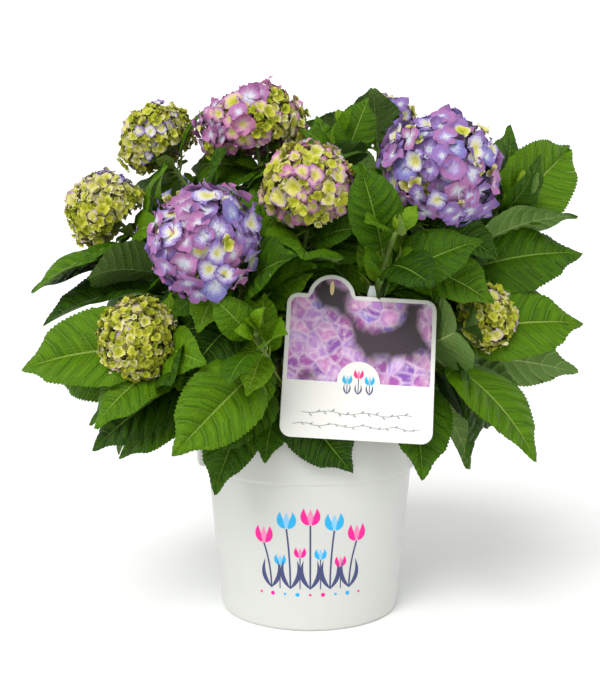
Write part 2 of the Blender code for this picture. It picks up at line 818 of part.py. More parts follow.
def stake_box(name, collection, margin=0.0):
    """The flat stake from its foot in the soil to its tip above the card."""
    length = (STAKE_TOP - STAKE_FOOT).length
    mesh = bpy.data.meshes.new(name)
    work = bmesh.new()
    bmesh.ops.create_cube(work, size=1)
    size = STAKE_WIDTH + 2 * margin, STAKE_THICKNESS + 2 * margin, length + 2 * margin
    bmesh.ops.scale(work, vec=size, verts=work.verts)
    if not margin:
        low = [v for v in work.verts if v.co.z < 0]
        bmesh.ops.scale(work, vec=(0.4, 1, 1), verts=low)
    work.to_mesh(mesh)
    work.free()
    made = bare_object(name, mesh, collection)
    rising = (STAKE_TOP - STAKE_FOOT).normalized()
    across = (Vector((1, 0, 0)) - rising * rising.x).normalized()
    made.matrix_world = Matrix((across, rising.cross(across), rising)).transposed().to_4x4()
    made.location = (STAKE_TOP + STAKE_FOOT) / 2
    return made


def card_matrix():
    """The card's axes: X along its lower edge, Y up it, Z out of its front."""
    across = Vector((math.cos(CARD_TURN), 0, -math.sin(CARD_TURN)))
    upright = Vector((math.sin(CARD_TURN), 0, math.cos(CARD_TURN)))
    up = upright * math.cos(CARD_LEAN) + Vector((0, 1, 0)) * math.sin(CARD_LEAN)
    matrix = Matrix((across, up, across.cross(up))).transposed().to_4x4()
    matrix.translation = CARD_MIDDLE
    return matrix


def arc_points(x, y, radius, first, last, count):
    turns = [math.radians(first + (last - first) * i / (count - 1)) for i in range(count)]
    return [(x + radius * math.cos(t), y + radius * math.sin(t)) for t in turns]


def card_outline():
    """A rectangle with round corners and a round tab on its top edge, counterclockwise."""
    x, y = CARD_WIDTH / 2 - CARD_CORNER, CARD_HEIGHT / 2 - CARD_CORNER
    drop = ARCH_RADIUS - ARCH_RISE
    foot = math.degrees(math.asin(drop / ARCH_RADIUS))
    points = arc_points(x, -y, CARD_CORNER, -90, 0, 5)
    points += arc_points(x, y, CARD_CORNER, 0, 90, 5)
    points += arc_points(ARCH_ASIDE, CARD_HEIGHT / 2 - drop, ARCH_RADIUS, foot, 180 - foot, 13)
    points += arc_points(-x, y, CARD_CORNER, 90, 180, 5)
    points += arc_points(-x, -y, CARD_CORNER, 180, 270, 5)
    return points


def card_view():
    """The space before the card that leaves keep out of, so that it can be read."""
    matrix = card_matrix()
    front, back = (
        [matrix @ Vector((x, y, depth)) for x, y in card_outline()]
        for depth in (CARD_VIEW, CARD_THICKNESS)
    )
    count = len(front)
    sides = [(i, (i + 1) % count, (i + 1) % count + count, i + count) for i in range(count)]
    return front + back, [*sides, tuple(range(count)), tuple(range(count, 2 * count))]


def make_card(parts):
    outline = card_outline()
    curve = bpy.data.curves.new("label_card", "CURVE")
    curve.dimensions = "2D"
    curve.fill_mode = "BOTH"
    curve.extrude = CARD_THICKNESS / 2
    spline = curve.splines.new("POLY")
    spline.points.add(len(outline) - 1)
    for point, (x, y) in zip(spline.points, outline):
        point.co = (x, y, 0, 1)
    spline.use_cyclic_u = True
    drawn = bare_object("label_card_outline", curve, parts)
    drawn.matrix_world = card_matrix()
    bpy.context.view_layer.update()
    return solid_from(drawn, "label_card", parts)


def limb(name, places, radii, collection, resolution=1):
    """A tapering round limb with filled ends, as a mesh."""
    curve = bpy.data.curves.new(name, "CURVE")
    curve.dimensions = "3D"
    curve.bevel_depth = 1.0
    curve.bevel_resolution = resolution
    curve.use_fill_caps = True
    spline = curve.splines.new("POLY")
    spline.points.add(len(places) - 1)
    for point, place, radius in zip(spline.points, places, radii):
        point.co = (*place, 1)
        point.radius = radius
    return solid_from(bare_object(name + "_line", curve, collection), name, collection)


def make_trunk(parts):
    """The woody base: a flared foot cut flat at the soil, and an arm to each knuckle."""
    ground = SOIL_TOP + GAP
    heights = np.array(TRUNK_RINGS) * TRUNK_HEIGHT
    radii = TRUNK_RADIUS + (FLARE_RADIUS - TRUNK_RADIUS) * np.exp(-heights / FLARE_HEIGHT)
    leans = [max(0, share - TRUNK_RINGS[1]) for share in TRUNK_RINGS]
    places = [Vector((*(TRUNK_LEAN * lean), ground + h)) for lean, h in zip(leans, heights)]
    trunk = limb("trunk", places, radii, parts, 4)
    pieces = new_collection("arms")
    fork = Vector((*(TRUNK_LEAN * FORK), ground + TRUNK_HEIGHT * FORK))
    for i, knuckle in enumerate(knuckle_places()):
        sag = UP * (ARM_SAG if i else ARM_SAG / 3)
        leaving = fork.lerp(knuckle, 0.5) - (sag / 3 if i else Vector())
        arm = interpolate_bezier(fork, leaving, knuckle - sag, knuckle, 4)
        limb("arm", arm, np.linspace(ARM_RADIUS, ARM_RADIUS * ARM_THINNING, 4), pieces, 1)
        mesh = bpy.data.meshes.new("knuckle")
        work = bmesh.new()
        place = Matrix.Translation(knuckle) @ Matrix.Rotation(0.3 * i, 4, "Z")
        bmesh.ops.create_icosphere(work, subdivisions=2, radius=KNUCKLE_RADIUS, matrix=place)
        work.to_mesh(mesh)
        work.free()
        bare_object("knuckle", mesh, pieces)
    return union_of(trunk, pieces, parts)


def make_mass(shoot, path, leaves, parts):
    """A stem with its leaves and flower head, joined into one solid."""
    stem = limb("foliage_" + shoot.name, *stem_points(path), parts, 0)
    pieces = new_collection("pieces")
    for leaf in leaves:
        outward_faces(mesh_object("leaf", *whole_leaf(leaf), pieces))
    if shoot.bloom:
        outward_faces(mesh_object("flower_head", *head_surface(shoot), pieces))
    mass = union_of(stem, pieces, parts)
    keep_largest_body(mass)
    return mass


def finish(obj, look, smooth=None):
    obj.data.materials.clear()
    obj.data.materials.append(look)
    if smooth:
        obj.data.shade_smooth()
        obj.data.set_sharp_from_angle(angle=math.radians(smooth))


def main():
    clear_scene()
    parts = new_collection("potted_hydrangea")
    plastic = material("pale_plastic", (0.70, 0.71, 0.68), 0.38)
    peat = material("peat", (0.035, 0.022, 0.014), 0.95)
    card = material("printed_card", (0.86, 0.85, 0.83), 0.35)
    clear_plastic = material("stake_plastic", (0.80, 0.82, 0.80), 0.30)
    bark = material("bark", (0.16, 0.11, 0.07), 0.85)
    green_bark = material("cane_bark", (0.14, 0.20, 0.06), 0.60)
    foliage = material("foliage", (0.045, 0.16, 0.02), 0.45)

    finish(make_pot(parts), plastic, 35)
    finish(stake_box("label_stake", parts), clear_plastic)
    finish(make_soil(parts), peat, 35)
    finish(make_card(parts), card)
    finish(make_trunk(parts), bark, 50)

    crowd = Crowd()
    crowd.add("card_view", *card_view())
    bpy.context.view_layer.update()
    for name in ("pot", "soil", "label_card", "label_stake", "trunk"):
        obj = bpy.data.objects[name]
        points = [obj.matrix_world @ v.co for v in obj.data.vertices]
        crowd.add(name, points, [tuple(p.vertices) for p in obj.data.polygons])
    for shoot in SHOOTS:
        if shoot.bloom:
            crowd.add(shoot.name, *head_surface(shoot))
    paths = grow_stems(crowd)
    leaves = grow_leaves(paths, crowd)
    for shoot in SHOOTS:
        path = paths[shoot.name]
        finish(limb("cane_" + shoot.name, *cane_points(path), parts), green_bark, 50)
        finish(make_mass(shoot, path, leaves[shoot.name], parts), foliage)


main()
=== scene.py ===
"""Dresses a potted mophead hydrangea: serrate quilted leaves, flower heads of four-sepal
florets, bark, potting soil, a printed container and the plant label on its stake.

The shrub stands as its solids do. The growth rule that made them is written again here, each
stem and leaf is found again by its corners in the solids, and finer twigs and small leaves
are then grown between them. All lengths are in metres, +Z up, in the frame of the solids.
"""

import functools
import json
import math
import random
from typing import NamedTuple

import bmesh
import bpy
import numpy as np
from bpy.props import FloatProperty, FloatVectorProperty, IntProperty, PointerProperty
from mathutils import Matrix, Vector, noise
from mathutils.bvhtree import BVHTree
from mathutils.geometry import interpolate_bezier
from mathutils.kdtree import KDTree

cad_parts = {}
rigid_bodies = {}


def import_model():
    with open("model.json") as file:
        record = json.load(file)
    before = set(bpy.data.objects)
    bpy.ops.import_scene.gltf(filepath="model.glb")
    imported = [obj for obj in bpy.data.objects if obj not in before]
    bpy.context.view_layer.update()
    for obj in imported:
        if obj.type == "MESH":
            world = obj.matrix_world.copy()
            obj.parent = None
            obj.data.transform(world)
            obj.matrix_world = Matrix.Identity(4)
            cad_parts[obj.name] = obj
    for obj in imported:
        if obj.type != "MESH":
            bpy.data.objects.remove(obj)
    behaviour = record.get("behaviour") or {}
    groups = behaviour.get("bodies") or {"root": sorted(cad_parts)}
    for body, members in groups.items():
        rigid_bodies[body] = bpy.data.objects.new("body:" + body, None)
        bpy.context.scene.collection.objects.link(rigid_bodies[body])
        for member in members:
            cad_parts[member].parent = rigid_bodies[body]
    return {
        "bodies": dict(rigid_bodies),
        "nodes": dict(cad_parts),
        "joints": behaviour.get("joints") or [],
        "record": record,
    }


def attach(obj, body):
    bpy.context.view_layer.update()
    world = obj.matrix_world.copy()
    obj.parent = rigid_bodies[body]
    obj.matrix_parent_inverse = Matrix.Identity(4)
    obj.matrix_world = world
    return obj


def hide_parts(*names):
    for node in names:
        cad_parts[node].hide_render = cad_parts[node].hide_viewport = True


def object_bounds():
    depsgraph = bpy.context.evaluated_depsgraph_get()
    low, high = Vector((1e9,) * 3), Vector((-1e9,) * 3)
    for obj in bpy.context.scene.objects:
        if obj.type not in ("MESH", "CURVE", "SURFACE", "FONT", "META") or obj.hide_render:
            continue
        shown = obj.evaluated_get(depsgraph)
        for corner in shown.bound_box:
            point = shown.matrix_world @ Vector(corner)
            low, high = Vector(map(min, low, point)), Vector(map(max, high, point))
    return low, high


bl_info = {
    "name": "Potted Hydrangea",
    "version": (1, 0, 0),
    "blender": (4, 5, 0),
    "location": "View3D > Sidebar > Hydrangea",
    "description": "Leaves, blossom, bark, soil, container and label of a potted hydrangea",
    "category": "Add Mesh",
}

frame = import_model()
solid_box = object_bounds()

BODY = "root"
UP = Vector((0, 0, 1))

GAP = 0.0003  # between pieces that touch

# Container
POT_HEIGHT = 0.200
FOOT_RADIUS = 0.0953
STEP_HEIGHT = 0.152
STEP_RADIUS = 0.1095
STEP_OUT = 0.0012
RIM_RADIUS = 0.1120
WALL = 0.0026
FLOOR = 0.004
FOOT_ROUND = 0.004
UNDER_RISE = 0.0016
POT_CENTRE = 0.0004
RIM_ROUND = 0.0012
LUG_REACH = 0.0105
LUG_LOW = 0.155
LUG_ARC = math.radians(44)

# Potting soil
SOIL_TOP = 0.180
SOIL_RINGS = 54
SOIL_SIDES = 150
SOIL_HEAP = 0.004
SOIL_EDGE = 0.010

# Label and its stake
CARD_WIDTH = 0.1445
CARD_HEIGHT = 0.1390
CARD_THICKNESS = 0.0010
CARD_CORNER = 0.0110
ARCH_RADIUS = 0.0230
ARCH_RISE = 0.0196
ARCH_ASIDE = -0.0295
CARD_MIDDLE = Vector((0.0460, -0.1225, 0.2690))
CARD_TURN = math.radians(3.4)
CARD_LEAN = math.radians(14.6)
CARD_VIEW = 0.070
CARD_GAP = 0.0014
STAKE_WIDTH = 0.0090
STAKE_THICKNESS = 0.0016
STAKE_RINGS = 30
STAKE_TIP = 0.955
STAKE_TOP = Vector((0.0596, -0.1020, 0.3465))
STAKE_FOOT = Vector((0.0520, -0.0820, 0.1150))

# Trunk
KNUCKLE_RADIUS = 0.0125
KNUCKLE_RING = 0.031
KNUCKLES_AROUND = 5
KNUCKLE_HEIGHT = 0.224
MIDDLE_KNUCKLE_HEIGHT = 0.240

# Canes and the stems that they run into
CANE_RADIUS = 0.0036
STEM_RADIUS = 0.0027
TIP_RADIUS = 0.0020
LEAFY_SHARE = 0.66
LONGEST_LEAFY = 0.195
MEETING = 0.004
STEM_STEPS = 5
CANE_SPREAD = math.radians(46)
STEEP_REACH = 0.152  # shoots closer to the middle than this rise from the middle knuckle
RING_LOW = 0.16  # canes leave the ring of knuckles as from a point at this height
MIDDLE_LOW = 0.15
LEAVING_PULL = 0.42
ARRIVING_PULL = 0.36
BOW_STEP = 0.05
BLOOMS_LOOK_FROM = 0.24
TIPS_LOOK_FROM = 0.16
STEM_IN_HEAD = 0.35

# Pairs of leaves down each stem
SIZES = (0.72, 0.90, 1.0, 1.0, 1.0)  # from the top pair down
YOUNG_SIZE = 0.30
YOUNG_CLOSED = 0.55
NECK = 0.006
HEAD_NECK = 0.45
FIRST_PAIR = 0.12
DROOP = 0.18
LOWER_DROOP = 0.10
LEAF_ANGLE = math.radians(62)
FLATTER = [math.radians(a) for a in (20, 10, 0, 0, 0)]
TURN_VARIES = 0.2
SIZE_VARIES = (0.92, 1.06)
ARCH_VARIES = (0.7, 1.2)
ALONG_PULL = 0.35
UP_PULL = 0.35
OUTER_PULL = 0.6
SIDE_PULL = 0.5
MIDDLE_DEPTH = 0.035
SIDE_LIGHT = 0.4
TRIES = 60
NUDGE_SPIN = 2.4
NUDGE_REACH = 0.085
NUDGE_SHRINK = 0.006
SEED = 7

# Leaves
WIDTH_TO_LENGTH = 0.64
LEAF_THICKNESS = 0.020
BASE_POWER = 0.62
TIP_POWER = 0.95
STALK = 0.022
SHORTEST_STALK = 0.45
STALK_GROWTH = 0.6
STALK_RADIUS = 0.0015
STALK_TO_LEAF = 0.025
STALK_DEPTH = 1.7
FOLD = math.radians(15)
ARCH = math.radians(44)
STATIONS = (0.17, 0.44, 0.76)
FEW_STATIONS = (0.26, 0.64)
SMALL_LEAF = 0.098
LONGEST_LEAF = 0.132
LONGEST_STALK = 0.042
AIM_FROM = 0.05  # leaves shorter than this aren't turned to a place

# Flower heads
FLORETS = 18
HEAD_DEPTH = 0.90
FLORET_CUP = 0.91
FLORET_PROUD = (0.95, 1.02)
SEPAL_PROUD = 1.04
CLUSTER_END = math.radians(122)
UNDERSIDE = math.radians(146)
UNDERSIDE_REACH = 0.76
UNDERSIDE_DEPTH = 0.58
UNDERSIDE_POINTS = 5

# Finding the growth again
SAME_CORNER = 0.00004
CORNERS_SHARED = 4
CROWN_MIDDLE = 0.33

# Finer growth
SMALL_TRIES = 10
SMALL_NUDGE = 5
SMALL_CLEARANCE = 0.0004
SMALL_STALK = 0.20
SMALL_TILT = 0.2
SMALL_LEAVES = (0.034, 0.052)
TWIG_LENGTHS = (0.018, 0.036)
TWIG_PAIRS = ((0.96, 1.0, math.radians(58)), (1.0, 0.42, math.radians(26)))
TWIG_RADIUS = 0.0011
TWIG_TAPER = 0.7
SHOOTS_FROM = 0.07
SHOOTS_SHARE = 0.75
COLLAR_DEPTH = 0.62
INNER_STRETCH = (0.2, 0.86)

# Small leaves round a stem: how many, their angles from it in degrees, and their lengths
COLLAR = (5, (58, 80), (0.020, 0.034))
TIP = (4, (12, 34), (0.012, 0.024))
INNER = (34, (45, 90), (0.045, 0.080))
RING_DRIFT = 0.2

# Leaves that fill the last gaps, with the places of their tips
FILLING_FROM = 0.3
FILLING_TO = 0.97
FILLING_ROOTS = 16  # places along each stem that a filling leaf may start from
FILLING_LENGTH = 0.085
FILLING_LENGTHS = (0.050, 0.120)
FILLING_STALK = 0.24
FILLING_TRIED = 70
FILLING_NUDGES = 3
FILLING = (
    (-0.278, -0.095, 0.345), (-0.292, -0.080, 0.300), (-0.299, -0.095, 0.278), (-0.230, -0.095, 0.352),
    (-0.212, -0.120, 0.206), (-0.225, -0.110, 0.250), (-0.098, -0.165, 0.158), (-0.020, -0.150, 0.166),
    (-0.150, -0.020, 0.430), (-0.165, 0.010, 0.440), (-0.118, 0.020, 0.462), (-0.128, 0.040, 0.478),
    (-0.140, -0.060, 0.470), (0.064, -0.010, 0.548), (0.010, 0.000, 0.530), (0.296, -0.030, 0.352),
    (0.232, -0.010, 0.508), (0.297, -0.030, 0.262), (0.246, -0.090, 0.180), (0.150, -0.060, 0.330),
    (-0.070, -0.010, 0.450), (0.170, -0.110, 0.290),
)

# Blade detail
VEINS_FROM = 0.05
VEINS_TO = 0.80
VEIN_HALF = 0.0028
VEIN_LEAD = 0.30
VEIN_CURVE = 1.2
MIDRIB_HALF = 0.025
WIDE_COLUMNS = (-1, -0.8, -0.42, -0.025, 0, 0.025, 0.42, 0.8, 1)
SMALL_COLUMNS = (-1, -0.6, -0.025, 0.025, 0.6, 1)
TINY_COLUMNS = (-1, -0.6, 0, 0.6, 1)
WIDE_UNDER_COLUMNS = (-1, -0.42, -0.025, 0.025, 0.42, 1)  # chords that stay under a folded blade
UNDER_COLUMNS = (-1, -0.6, -0.025, 0.025, 0.6, 1)
SMALL_FROM = 0.078  # leaves shorter than this have fewer veins
TINY_FROM = 0.034
TIP_DRAWN = 0.30
TOOTH_LEAN = 0.006
TONES = 12
VEIN_TONES = 4
LEAF_PIECES = {
    "leaves_front": ("front_left", "front_middle", "centre_leafy", "low_middle_leafy", "front_right"),
    "leaves_left": ("low_left", "left", "low_back_left", "back_left"),
    "leaves_right": ("low_right", "right_leafy", "low_back_right", "back_right"),
    "leaves_back": ("back_middle", "back_low", "back_leafy"),
    "leaves_top": ("top_left", "top_middle", "top_right", "crown_leafy"),
}

# Stems
STEM_STEP = 0.0035
STEM_SIDES = 12
NODE_SWELL = 0.0007
NODE_LENGTH = 0.004

# Florets
FLORET_DARTS = 2600
FLORET_SPACING = 0.5
FLORET_STANDS = (0.86, 1.0)
FLORET_TILT = 0.36
HEAD_LUMPS = 0.13
YOUNG_SHARE = 0.07
INNER_LAYER = 0.84
BEAD_SHARE = 0.045
BAND_STEPS = 6
BLOSSOM_PIECES = {
    "blossom_front": ("front_left", "front_right", "front_middle", "low_left", "low_right"),
    "blossom_top": ("left", "top_left", "top_middle", "top_right"),
    "blossom_back": ("back_left", "back_middle", "back_right", "back_low"),
}


class Shoot(NamedTuple):
    """A stem from a knuckle to its flower head, or to its tip where bloom is 0.
    tips are places that its furthest and foremost leaves reach."""

    name: str
    head: tuple
    bloom: float
    pairs: int
    twist: float
    leaf: float
    tips: tuple = ()


SHOOTS = (
    Shoot("front_left", (-0.097, -0.160, 0.386), 0.0515, 5, 20, 0.116, (
        (-0.067, -0.170, 0.305), (-0.109, -0.170, 0.268), (-0.139, -0.150, 0.330), (-0.046, -0.120, 0.427),
    )),
    Shoot("front_right", (0.126, -0.090, 0.456), 0.0580, 5, 65, 0.122, (
        (0.142, -0.020, 0.525), (0.175, -0.110, 0.330), (0.195, -0.085, 0.389), (0.110, -0.110, 0.370),
    )),
    Shoot("front_middle", (-0.002, -0.110, 0.440), 0.0440, 5, 40, 0.116, (
        (-0.053, -0.135, 0.366), (0.045, -0.130, 0.410),
    )),
    Shoot("centre_leafy", (0.079, -0.128, 0.396), 0.0, 5, 30, 0.104, (
        (0.042, -0.150, 0.456), (0.100, -0.200, 0.343), (-0.038, -0.070, 0.392), (0.177, -0.120, 0.365),
    )),
    Shoot("low_left", (-0.163, -0.130, 0.296), 0.0400, 5, 10, 0.116, (
        (-0.303, -0.080, 0.270), (-0.276, -0.120, 0.268), (-0.199, -0.170, 0.221),
        (-0.222, -0.110, 0.200), (-0.189, -0.090, 0.173), (-0.102, -0.160, 0.215),
    )),
    Shoot("low_right", (0.174, -0.070, 0.314), 0.0330, 5, 50, 0.120, (
        (0.218, -0.140, 0.182), (0.280, -0.050, 0.311), (0.249, 0.000, 0.337),
        (0.112, -0.140, 0.172), (0.159, -0.090, 0.175), (0.157, -0.130, 0.320),
    )),
    Shoot("left", (-0.211, -0.030, 0.423), 0.0400, 5, 35, 0.108, (
        (-0.285, -0.050, 0.338), (-0.268, -0.100, 0.327), (-0.215, -0.120, 0.333), (-0.152, -0.090, 0.400),
    )),
    Shoot("top_left", (-0.166, 0.030, 0.502), 0.0410, 5, 75, 0.104, (
        (-0.145, -0.040, 0.436),
    )),
    Shoot("top_middle", (-0.062, 0.000, 0.520), 0.0560, 5, 15, 0.112, (
        (-0.048, -0.070, 0.460), (-0.112, -0.050, 0.440), (-0.005, -0.070, 0.450),
    )),
    Shoot("top_right", (0.091, 0.090, 0.535), 0.0380, 5, 55, 0.104),
    Shoot("right_leafy", (0.212, -0.030, 0.440), 0.0, 5, 10, 0.104, (
        (0.235, -0.050, 0.477), (0.291, 0.020, 0.489), (0.215, 0.000, 0.514), (0.268, -0.060, 0.418),
        (0.297, -0.020, 0.344), (0.255, 0.030, 0.344),
    )),
    Shoot("crown_leafy", (0.036, -0.020, 0.505), 0.0, 5, 60, 0.092, (
        (0.060, -0.020, 0.541), (0.041, -0.080, 0.456), (-0.007, -0.040, 0.506),
    )),
    Shoot("low_middle_leafy", (-0.050, -0.175, 0.305), 0.0, 5, 45, 0.092, (
        (-0.121, -0.200, 0.198), (0.010, -0.132, 0.200), (0.033, -0.128, 0.162), (-0.071, -0.220, 0.265),
        (-0.024, -0.175, 0.315),
    )),
    Shoot("back_left", (-0.150, 0.140, 0.420), 0.0520, 5, 25, 0.118),
    Shoot("back_middle", (0.000, 0.165, 0.470), 0.0560, 5, 70, 0.118),
    Shoot("back_right", (0.160, 0.120, 0.400), 0.0500, 5, 40, 0.120),
    Shoot("back_low", (0.030, 0.215, 0.320), 0.0420, 4, 5, 0.118),
    Shoot("back_leafy", (-0.110, 0.205, 0.300), 0.0, 5, 50, 0.112),
    Shoot("low_back_left", (-0.200, 0.080, 0.285), 0.0, 5, 20, 0.112),
    Shoot("low_back_right", (0.180, 0.075, 0.275), 0.0, 5, 70, 0.112, (
        (0.300, 0.020, 0.247),
    )),
)


class Path:
    """A smooth stem from start to end, measured along its length."""

    def __init__(self, start, rising, end, arriving, bow):
        reach = (end - start).length
        handles = start + (rising + bow) * reach * LEAVING_PULL, end - arriving * reach * ARRIVING_PULL
        self.points = interpolate_bezier(start, *handles, end, 33)
        steps = [(b - a).length for a, b in zip(self.points, self.points[1:])]
        self.marks = np.concatenate([[0.0], np.cumsum(steps)])
        self.length = float(self.marks[-1])
        self.leafy_start = self.length - min(self.length * LEAFY_SHARE, LONGEST_LEAFY)

    def at(self, distance):
        distance = min(max(distance, 0.0), self.length)
        place = min(max(int(np.searchsorted(self.marks, distance)), 1), len(self.points) - 1)
        share = (distance - self.marks[place - 1]) / (self.marks[place] - self.marks[place - 1])
        return self.points[place - 1].lerp(self.points[place], share)

    def along(self, distance):
        step = 0.002
        return (self.at(distance + step) - self.at(distance - step)).normalized()

    def between(self, first, last, count):
        return [self.at(first + (last - first) * i / (count - 1)) for i in range(count)]


def facing(shoot):
    """The way that a flower head or a tip looks: up, and out from the middle of the shrub."""
    middle = Vector((0, 0, BLOOMS_LOOK_FROM if shoot.bloom else TIPS_LOOK_FROM))
    return (Vector(shoot.head) - middle).normalized()


def knuckle_places():
    """The middle knuckle, then the ring of knuckles round it."""
    turns = [math.tau * (i + 0.25) / KNUCKLES_AROUND for i in range(KNUCKLES_AROUND)]
    ring = [
        Vector((KNUCKLE_RING * math.cos(t), KNUCKLE_RING * math.sin(t), KNUCKLE_HEIGHT))
        for t in turns
    ]
    return [Vector((0, 0, MIDDLE_KNUCKLE_HEIGHT)), *ring]


def spread(ways):
    """Turns the ways that leave one knuckle until none is closer to another than CANE_SPREAD."""
    for _ in range(80):
        for a in range(len(ways)):
            for b in range(a):
                short = CANE_SPREAD - ways[a].angle(ways[b])
                if short > 0:
                    push = (ways[a] - ways[b]).normalized() * short / 2
                    ways[a] = (ways[a] + push).normalized()
                    ways[b] = (ways[b] - push).normalized()
    return ways


def rising_ways():
    """For each shoot, the knuckle that it rises from and the way that it leaves it."""
    knuckles = knuckle_places()
    homes = {}
    for shoot in SHOOTS:
        flat = Vector(shoot.head).xy
        steep = flat.length < STEEP_REACH
        home = 0 if steep else max(range(1, len(knuckles)), key=lambda i: knuckles[i].xy.dot(flat))
        homes.setdefault(home, []).append(shoot)
    found = {}
    for home, shoots in homes.items():
        low = Vector((0, 0, RING_LOW if home else MIDDLE_LOW))
        ways = [(Vector(shoot.head) - low).normalized() for shoot in shoots]
        for shoot, way in zip(shoots, spread(ways)):
            found[shoot.name] = knuckles[home], way
    return found


class Crowd:
    """What stands in the shrub so far, to keep each new stem and leaf clear of it."""

    def __init__(self):
        self.trees = []
        self.owners = []
        self.centres = np.zeros((0, 3))
        self.radii = np.zeros(0)
        self.grown = {shoot.name: [] for shoot in SHOOTS}

    def add(self, owner, points, faces):
        centre = sum(points, Vector()) / len(points)
        self.trees.append(BVHTree.FromPolygons(points, faces))
        self.owners.append(owner)
        self.centres = np.vstack([self.centres, centre])
        self.radii = np.append(self.radii, max((p - centre).length for p in points))

    def meets(self, points, faces):
        """The owners of all that these faces cut through."""
        centre = sum(points, Vector()) / len(points)
        radius = max((p - centre).length for p in points)
        apart = np.linalg.norm(self.centres - np.array(centre), axis=1)
        tree = BVHTree.FromPolygons(points, faces)
        near = np.flatnonzero(apart < self.radii + radius)
        return {self.owners[i] for i in near if tree.overlap(self.trees[i])}

    def grow(self, name, leaf):
        """A new leaf of a shoot, which all later ones keep clear of."""
        self.add(name, *blade(leaf))
        self.grown[name].append(leaf)


def tube(places, radii, sides=6):
    """A closed tapering tube as points and faces, to test what a stem would touch."""
    points = []
    for i, (place, radius) in enumerate(zip(places, radii)):
        along = places[min(i + 1, len(places) - 1)] - places[max(i - 1, 0)]
        turn = UP.rotation_difference(along)
        for k in range(sides):
            angle = math.tau * k / sides
            points.append(place + turn @ Vector((math.cos(angle), math.sin(angle), 0)) * radius)
    faces = [tuple(range(sides)), tuple(range(len(points) - sides, len(points)))]
    for i in range(len(places) - 1):
        for k in range(sides):
            a, b = i * sides + k, i * sides + (k + 1) % sides
            faces.append((a, b, b + sides, a + sides))
    return points, faces


def cane_points(path):
    """Points and radii from the knuckle to where the foliage starts, its last step short
    so that its end is square to the stem that goes on from it."""
    places = path.between(0, path.leafy_start - MEETING, STEM_STEPS)
    places.append(path.at(path.leafy_start - GAP))
    return places, np.linspace(CANE_RADIUS, STEM_RADIUS, len(places))


def stem_points(path):
    places = [path.at(path.leafy_start)]
    places += path.between(path.leafy_start + MEETING, path.length, STEM_STEPS)
    return places, np.linspace(STEM_RADIUS, TIP_RADIUS, len(places))


class Leaf(NamedTuple):
    """One leaf, from the middle of its stem: way runs from the blade's base to its tip."""

    root: Vector
    way: Vector
    face: Vector
    length: float
    stalk: float
    arch: float


def leaf_frame(leaf):
    """Blade axes as a matrix: X across, Y from base to tip, Z out of the upper side."""
    face = (leaf.face - leaf.way * leaf.way.dot(leaf.face)).normalized()
    frame = Matrix((leaf.way.cross(face), leaf.way, face)).transposed().to_4x4()
    half = leaf.arch / 2
    leaving = leaf.way * math.cos(half) + face * math.sin(half)
    frame.translation = leaf.root + leaving * leaf.stalk
    return frame


def half_width(s):
    """The blade's half width at a share of its length, 1 at the widest."""
    widest = BASE_POWER / (BASE_POWER + TIP_POWER)
    return (s / widest) ** BASE_POWER * ((1 - s) / (1 - widest)) ** TIP_POWER


def midrib(leaf, s):
    """The arching midrib at a share of its length, and the way out of the upper side there."""
    bend = leaf.arch * (s - 0.5)
    half = leaf.arch / 2
    radius = leaf.length / leaf.arch
    place = Vector((0, math.sin(bend) + math.sin(half), math.cos(bend) - math.cos(half))) * radius
    return place, Vector((0, math.sin(bend), math.cos(bend)))


def section(middle, side, normal, thick):
    """Across a leaf: its left edge, the top of its middle, its right edge, and underneath."""
    return [middle - side, middle, middle + side, middle - normal * thick]


def leaf_sections(leaf, swell=0.0):
    """Sections from the blade's base towards its tip, folded up along the midrib.
    swell makes them wider and thicker, to test that the leaf stands clear."""
    frame = leaf_frame(leaf)
    thick = leaf.length * LEAF_THICKNESS + 2 * swell
    widest = leaf.length * WIDTH_TO_LENGTH / 2 + swell
    neck = stalk_radius(leaf) + swell
    sections = [section(Vector((0, 0, swell)), Vector((neck, 0, 0)), UP, neck * STALK_DEPTH)]
    for s in STATIONS if leaf.length > SMALL_LEAF else FEW_STATIONS:
        middle, normal = midrib(leaf, s)
        wide = widest * half_width(s)
        ring = section(middle + normal * swell, Vector((wide * math.cos(FOLD), 0, 0)), normal, thick)
        for edge in (0, 2):
            ring[edge] += normal * (wide * math.sin(FOLD) - swell)
        sections.append(ring)
    return [[frame @ p for p in ring] for ring in sections]


def loft(sections, tip=None):
    """Points and triangles of a skin over sections of four points that closes in a tip,
    or flat on its last section."""
    points = [p for ring in sections for p in ring]
    count = len(points)
    corners = [(k, (k + 1) % 4) for k in range(4)]
    faces = [(2, 1, 0), (3, 2, 0)]
    for a in range(0, count - 4, 4):
        for k, n in corners:
            faces += [(a + k, a + n, a + n + 4), (a + k, a + n + 4, a + k + 4)]
    if tip is None:
        return points, faces + [(count - 4, count - 3, count - 2), (count - 4, count - 2, count - 1)]
    faces += [(count, count - 4 + k, count - 4 + n) for k, n in corners]
    return points + [tip], faces


def leaf_tip(leaf):
    return leaf_frame(leaf) @ midrib(leaf, 1.0)[0]


def blade(leaf, swell=0.0):
    return loft(leaf_sections(leaf, swell), leaf_tip(leaf))


def stalk_radius(leaf):
    return min(STALK_RADIUS, leaf.length * STALK_TO_LEAF)


def stalk_section(leaf, swell=0.0):
    """The section of the leaf's stalk in the middle of its stem."""
    frame = leaf_frame(leaf)
    along = (frame.translation - leaf.root).normalized()
    radius = stalk_radius(leaf) + swell
    side = frame.to_3x3() @ Vector((radius, 0, 0))
    normal = side.cross(along).normalized()
    return section(leaf.root + normal * radius * STALK_DEPTH / 2, side, normal, radius * STALK_DEPTH)


def stalk(leaf, swell=0.0):
    """The stalk alone, from the middle of its stem to the blade."""
    return loft([stalk_section(leaf, swell), leaf_sections(leaf, swell)[0]])


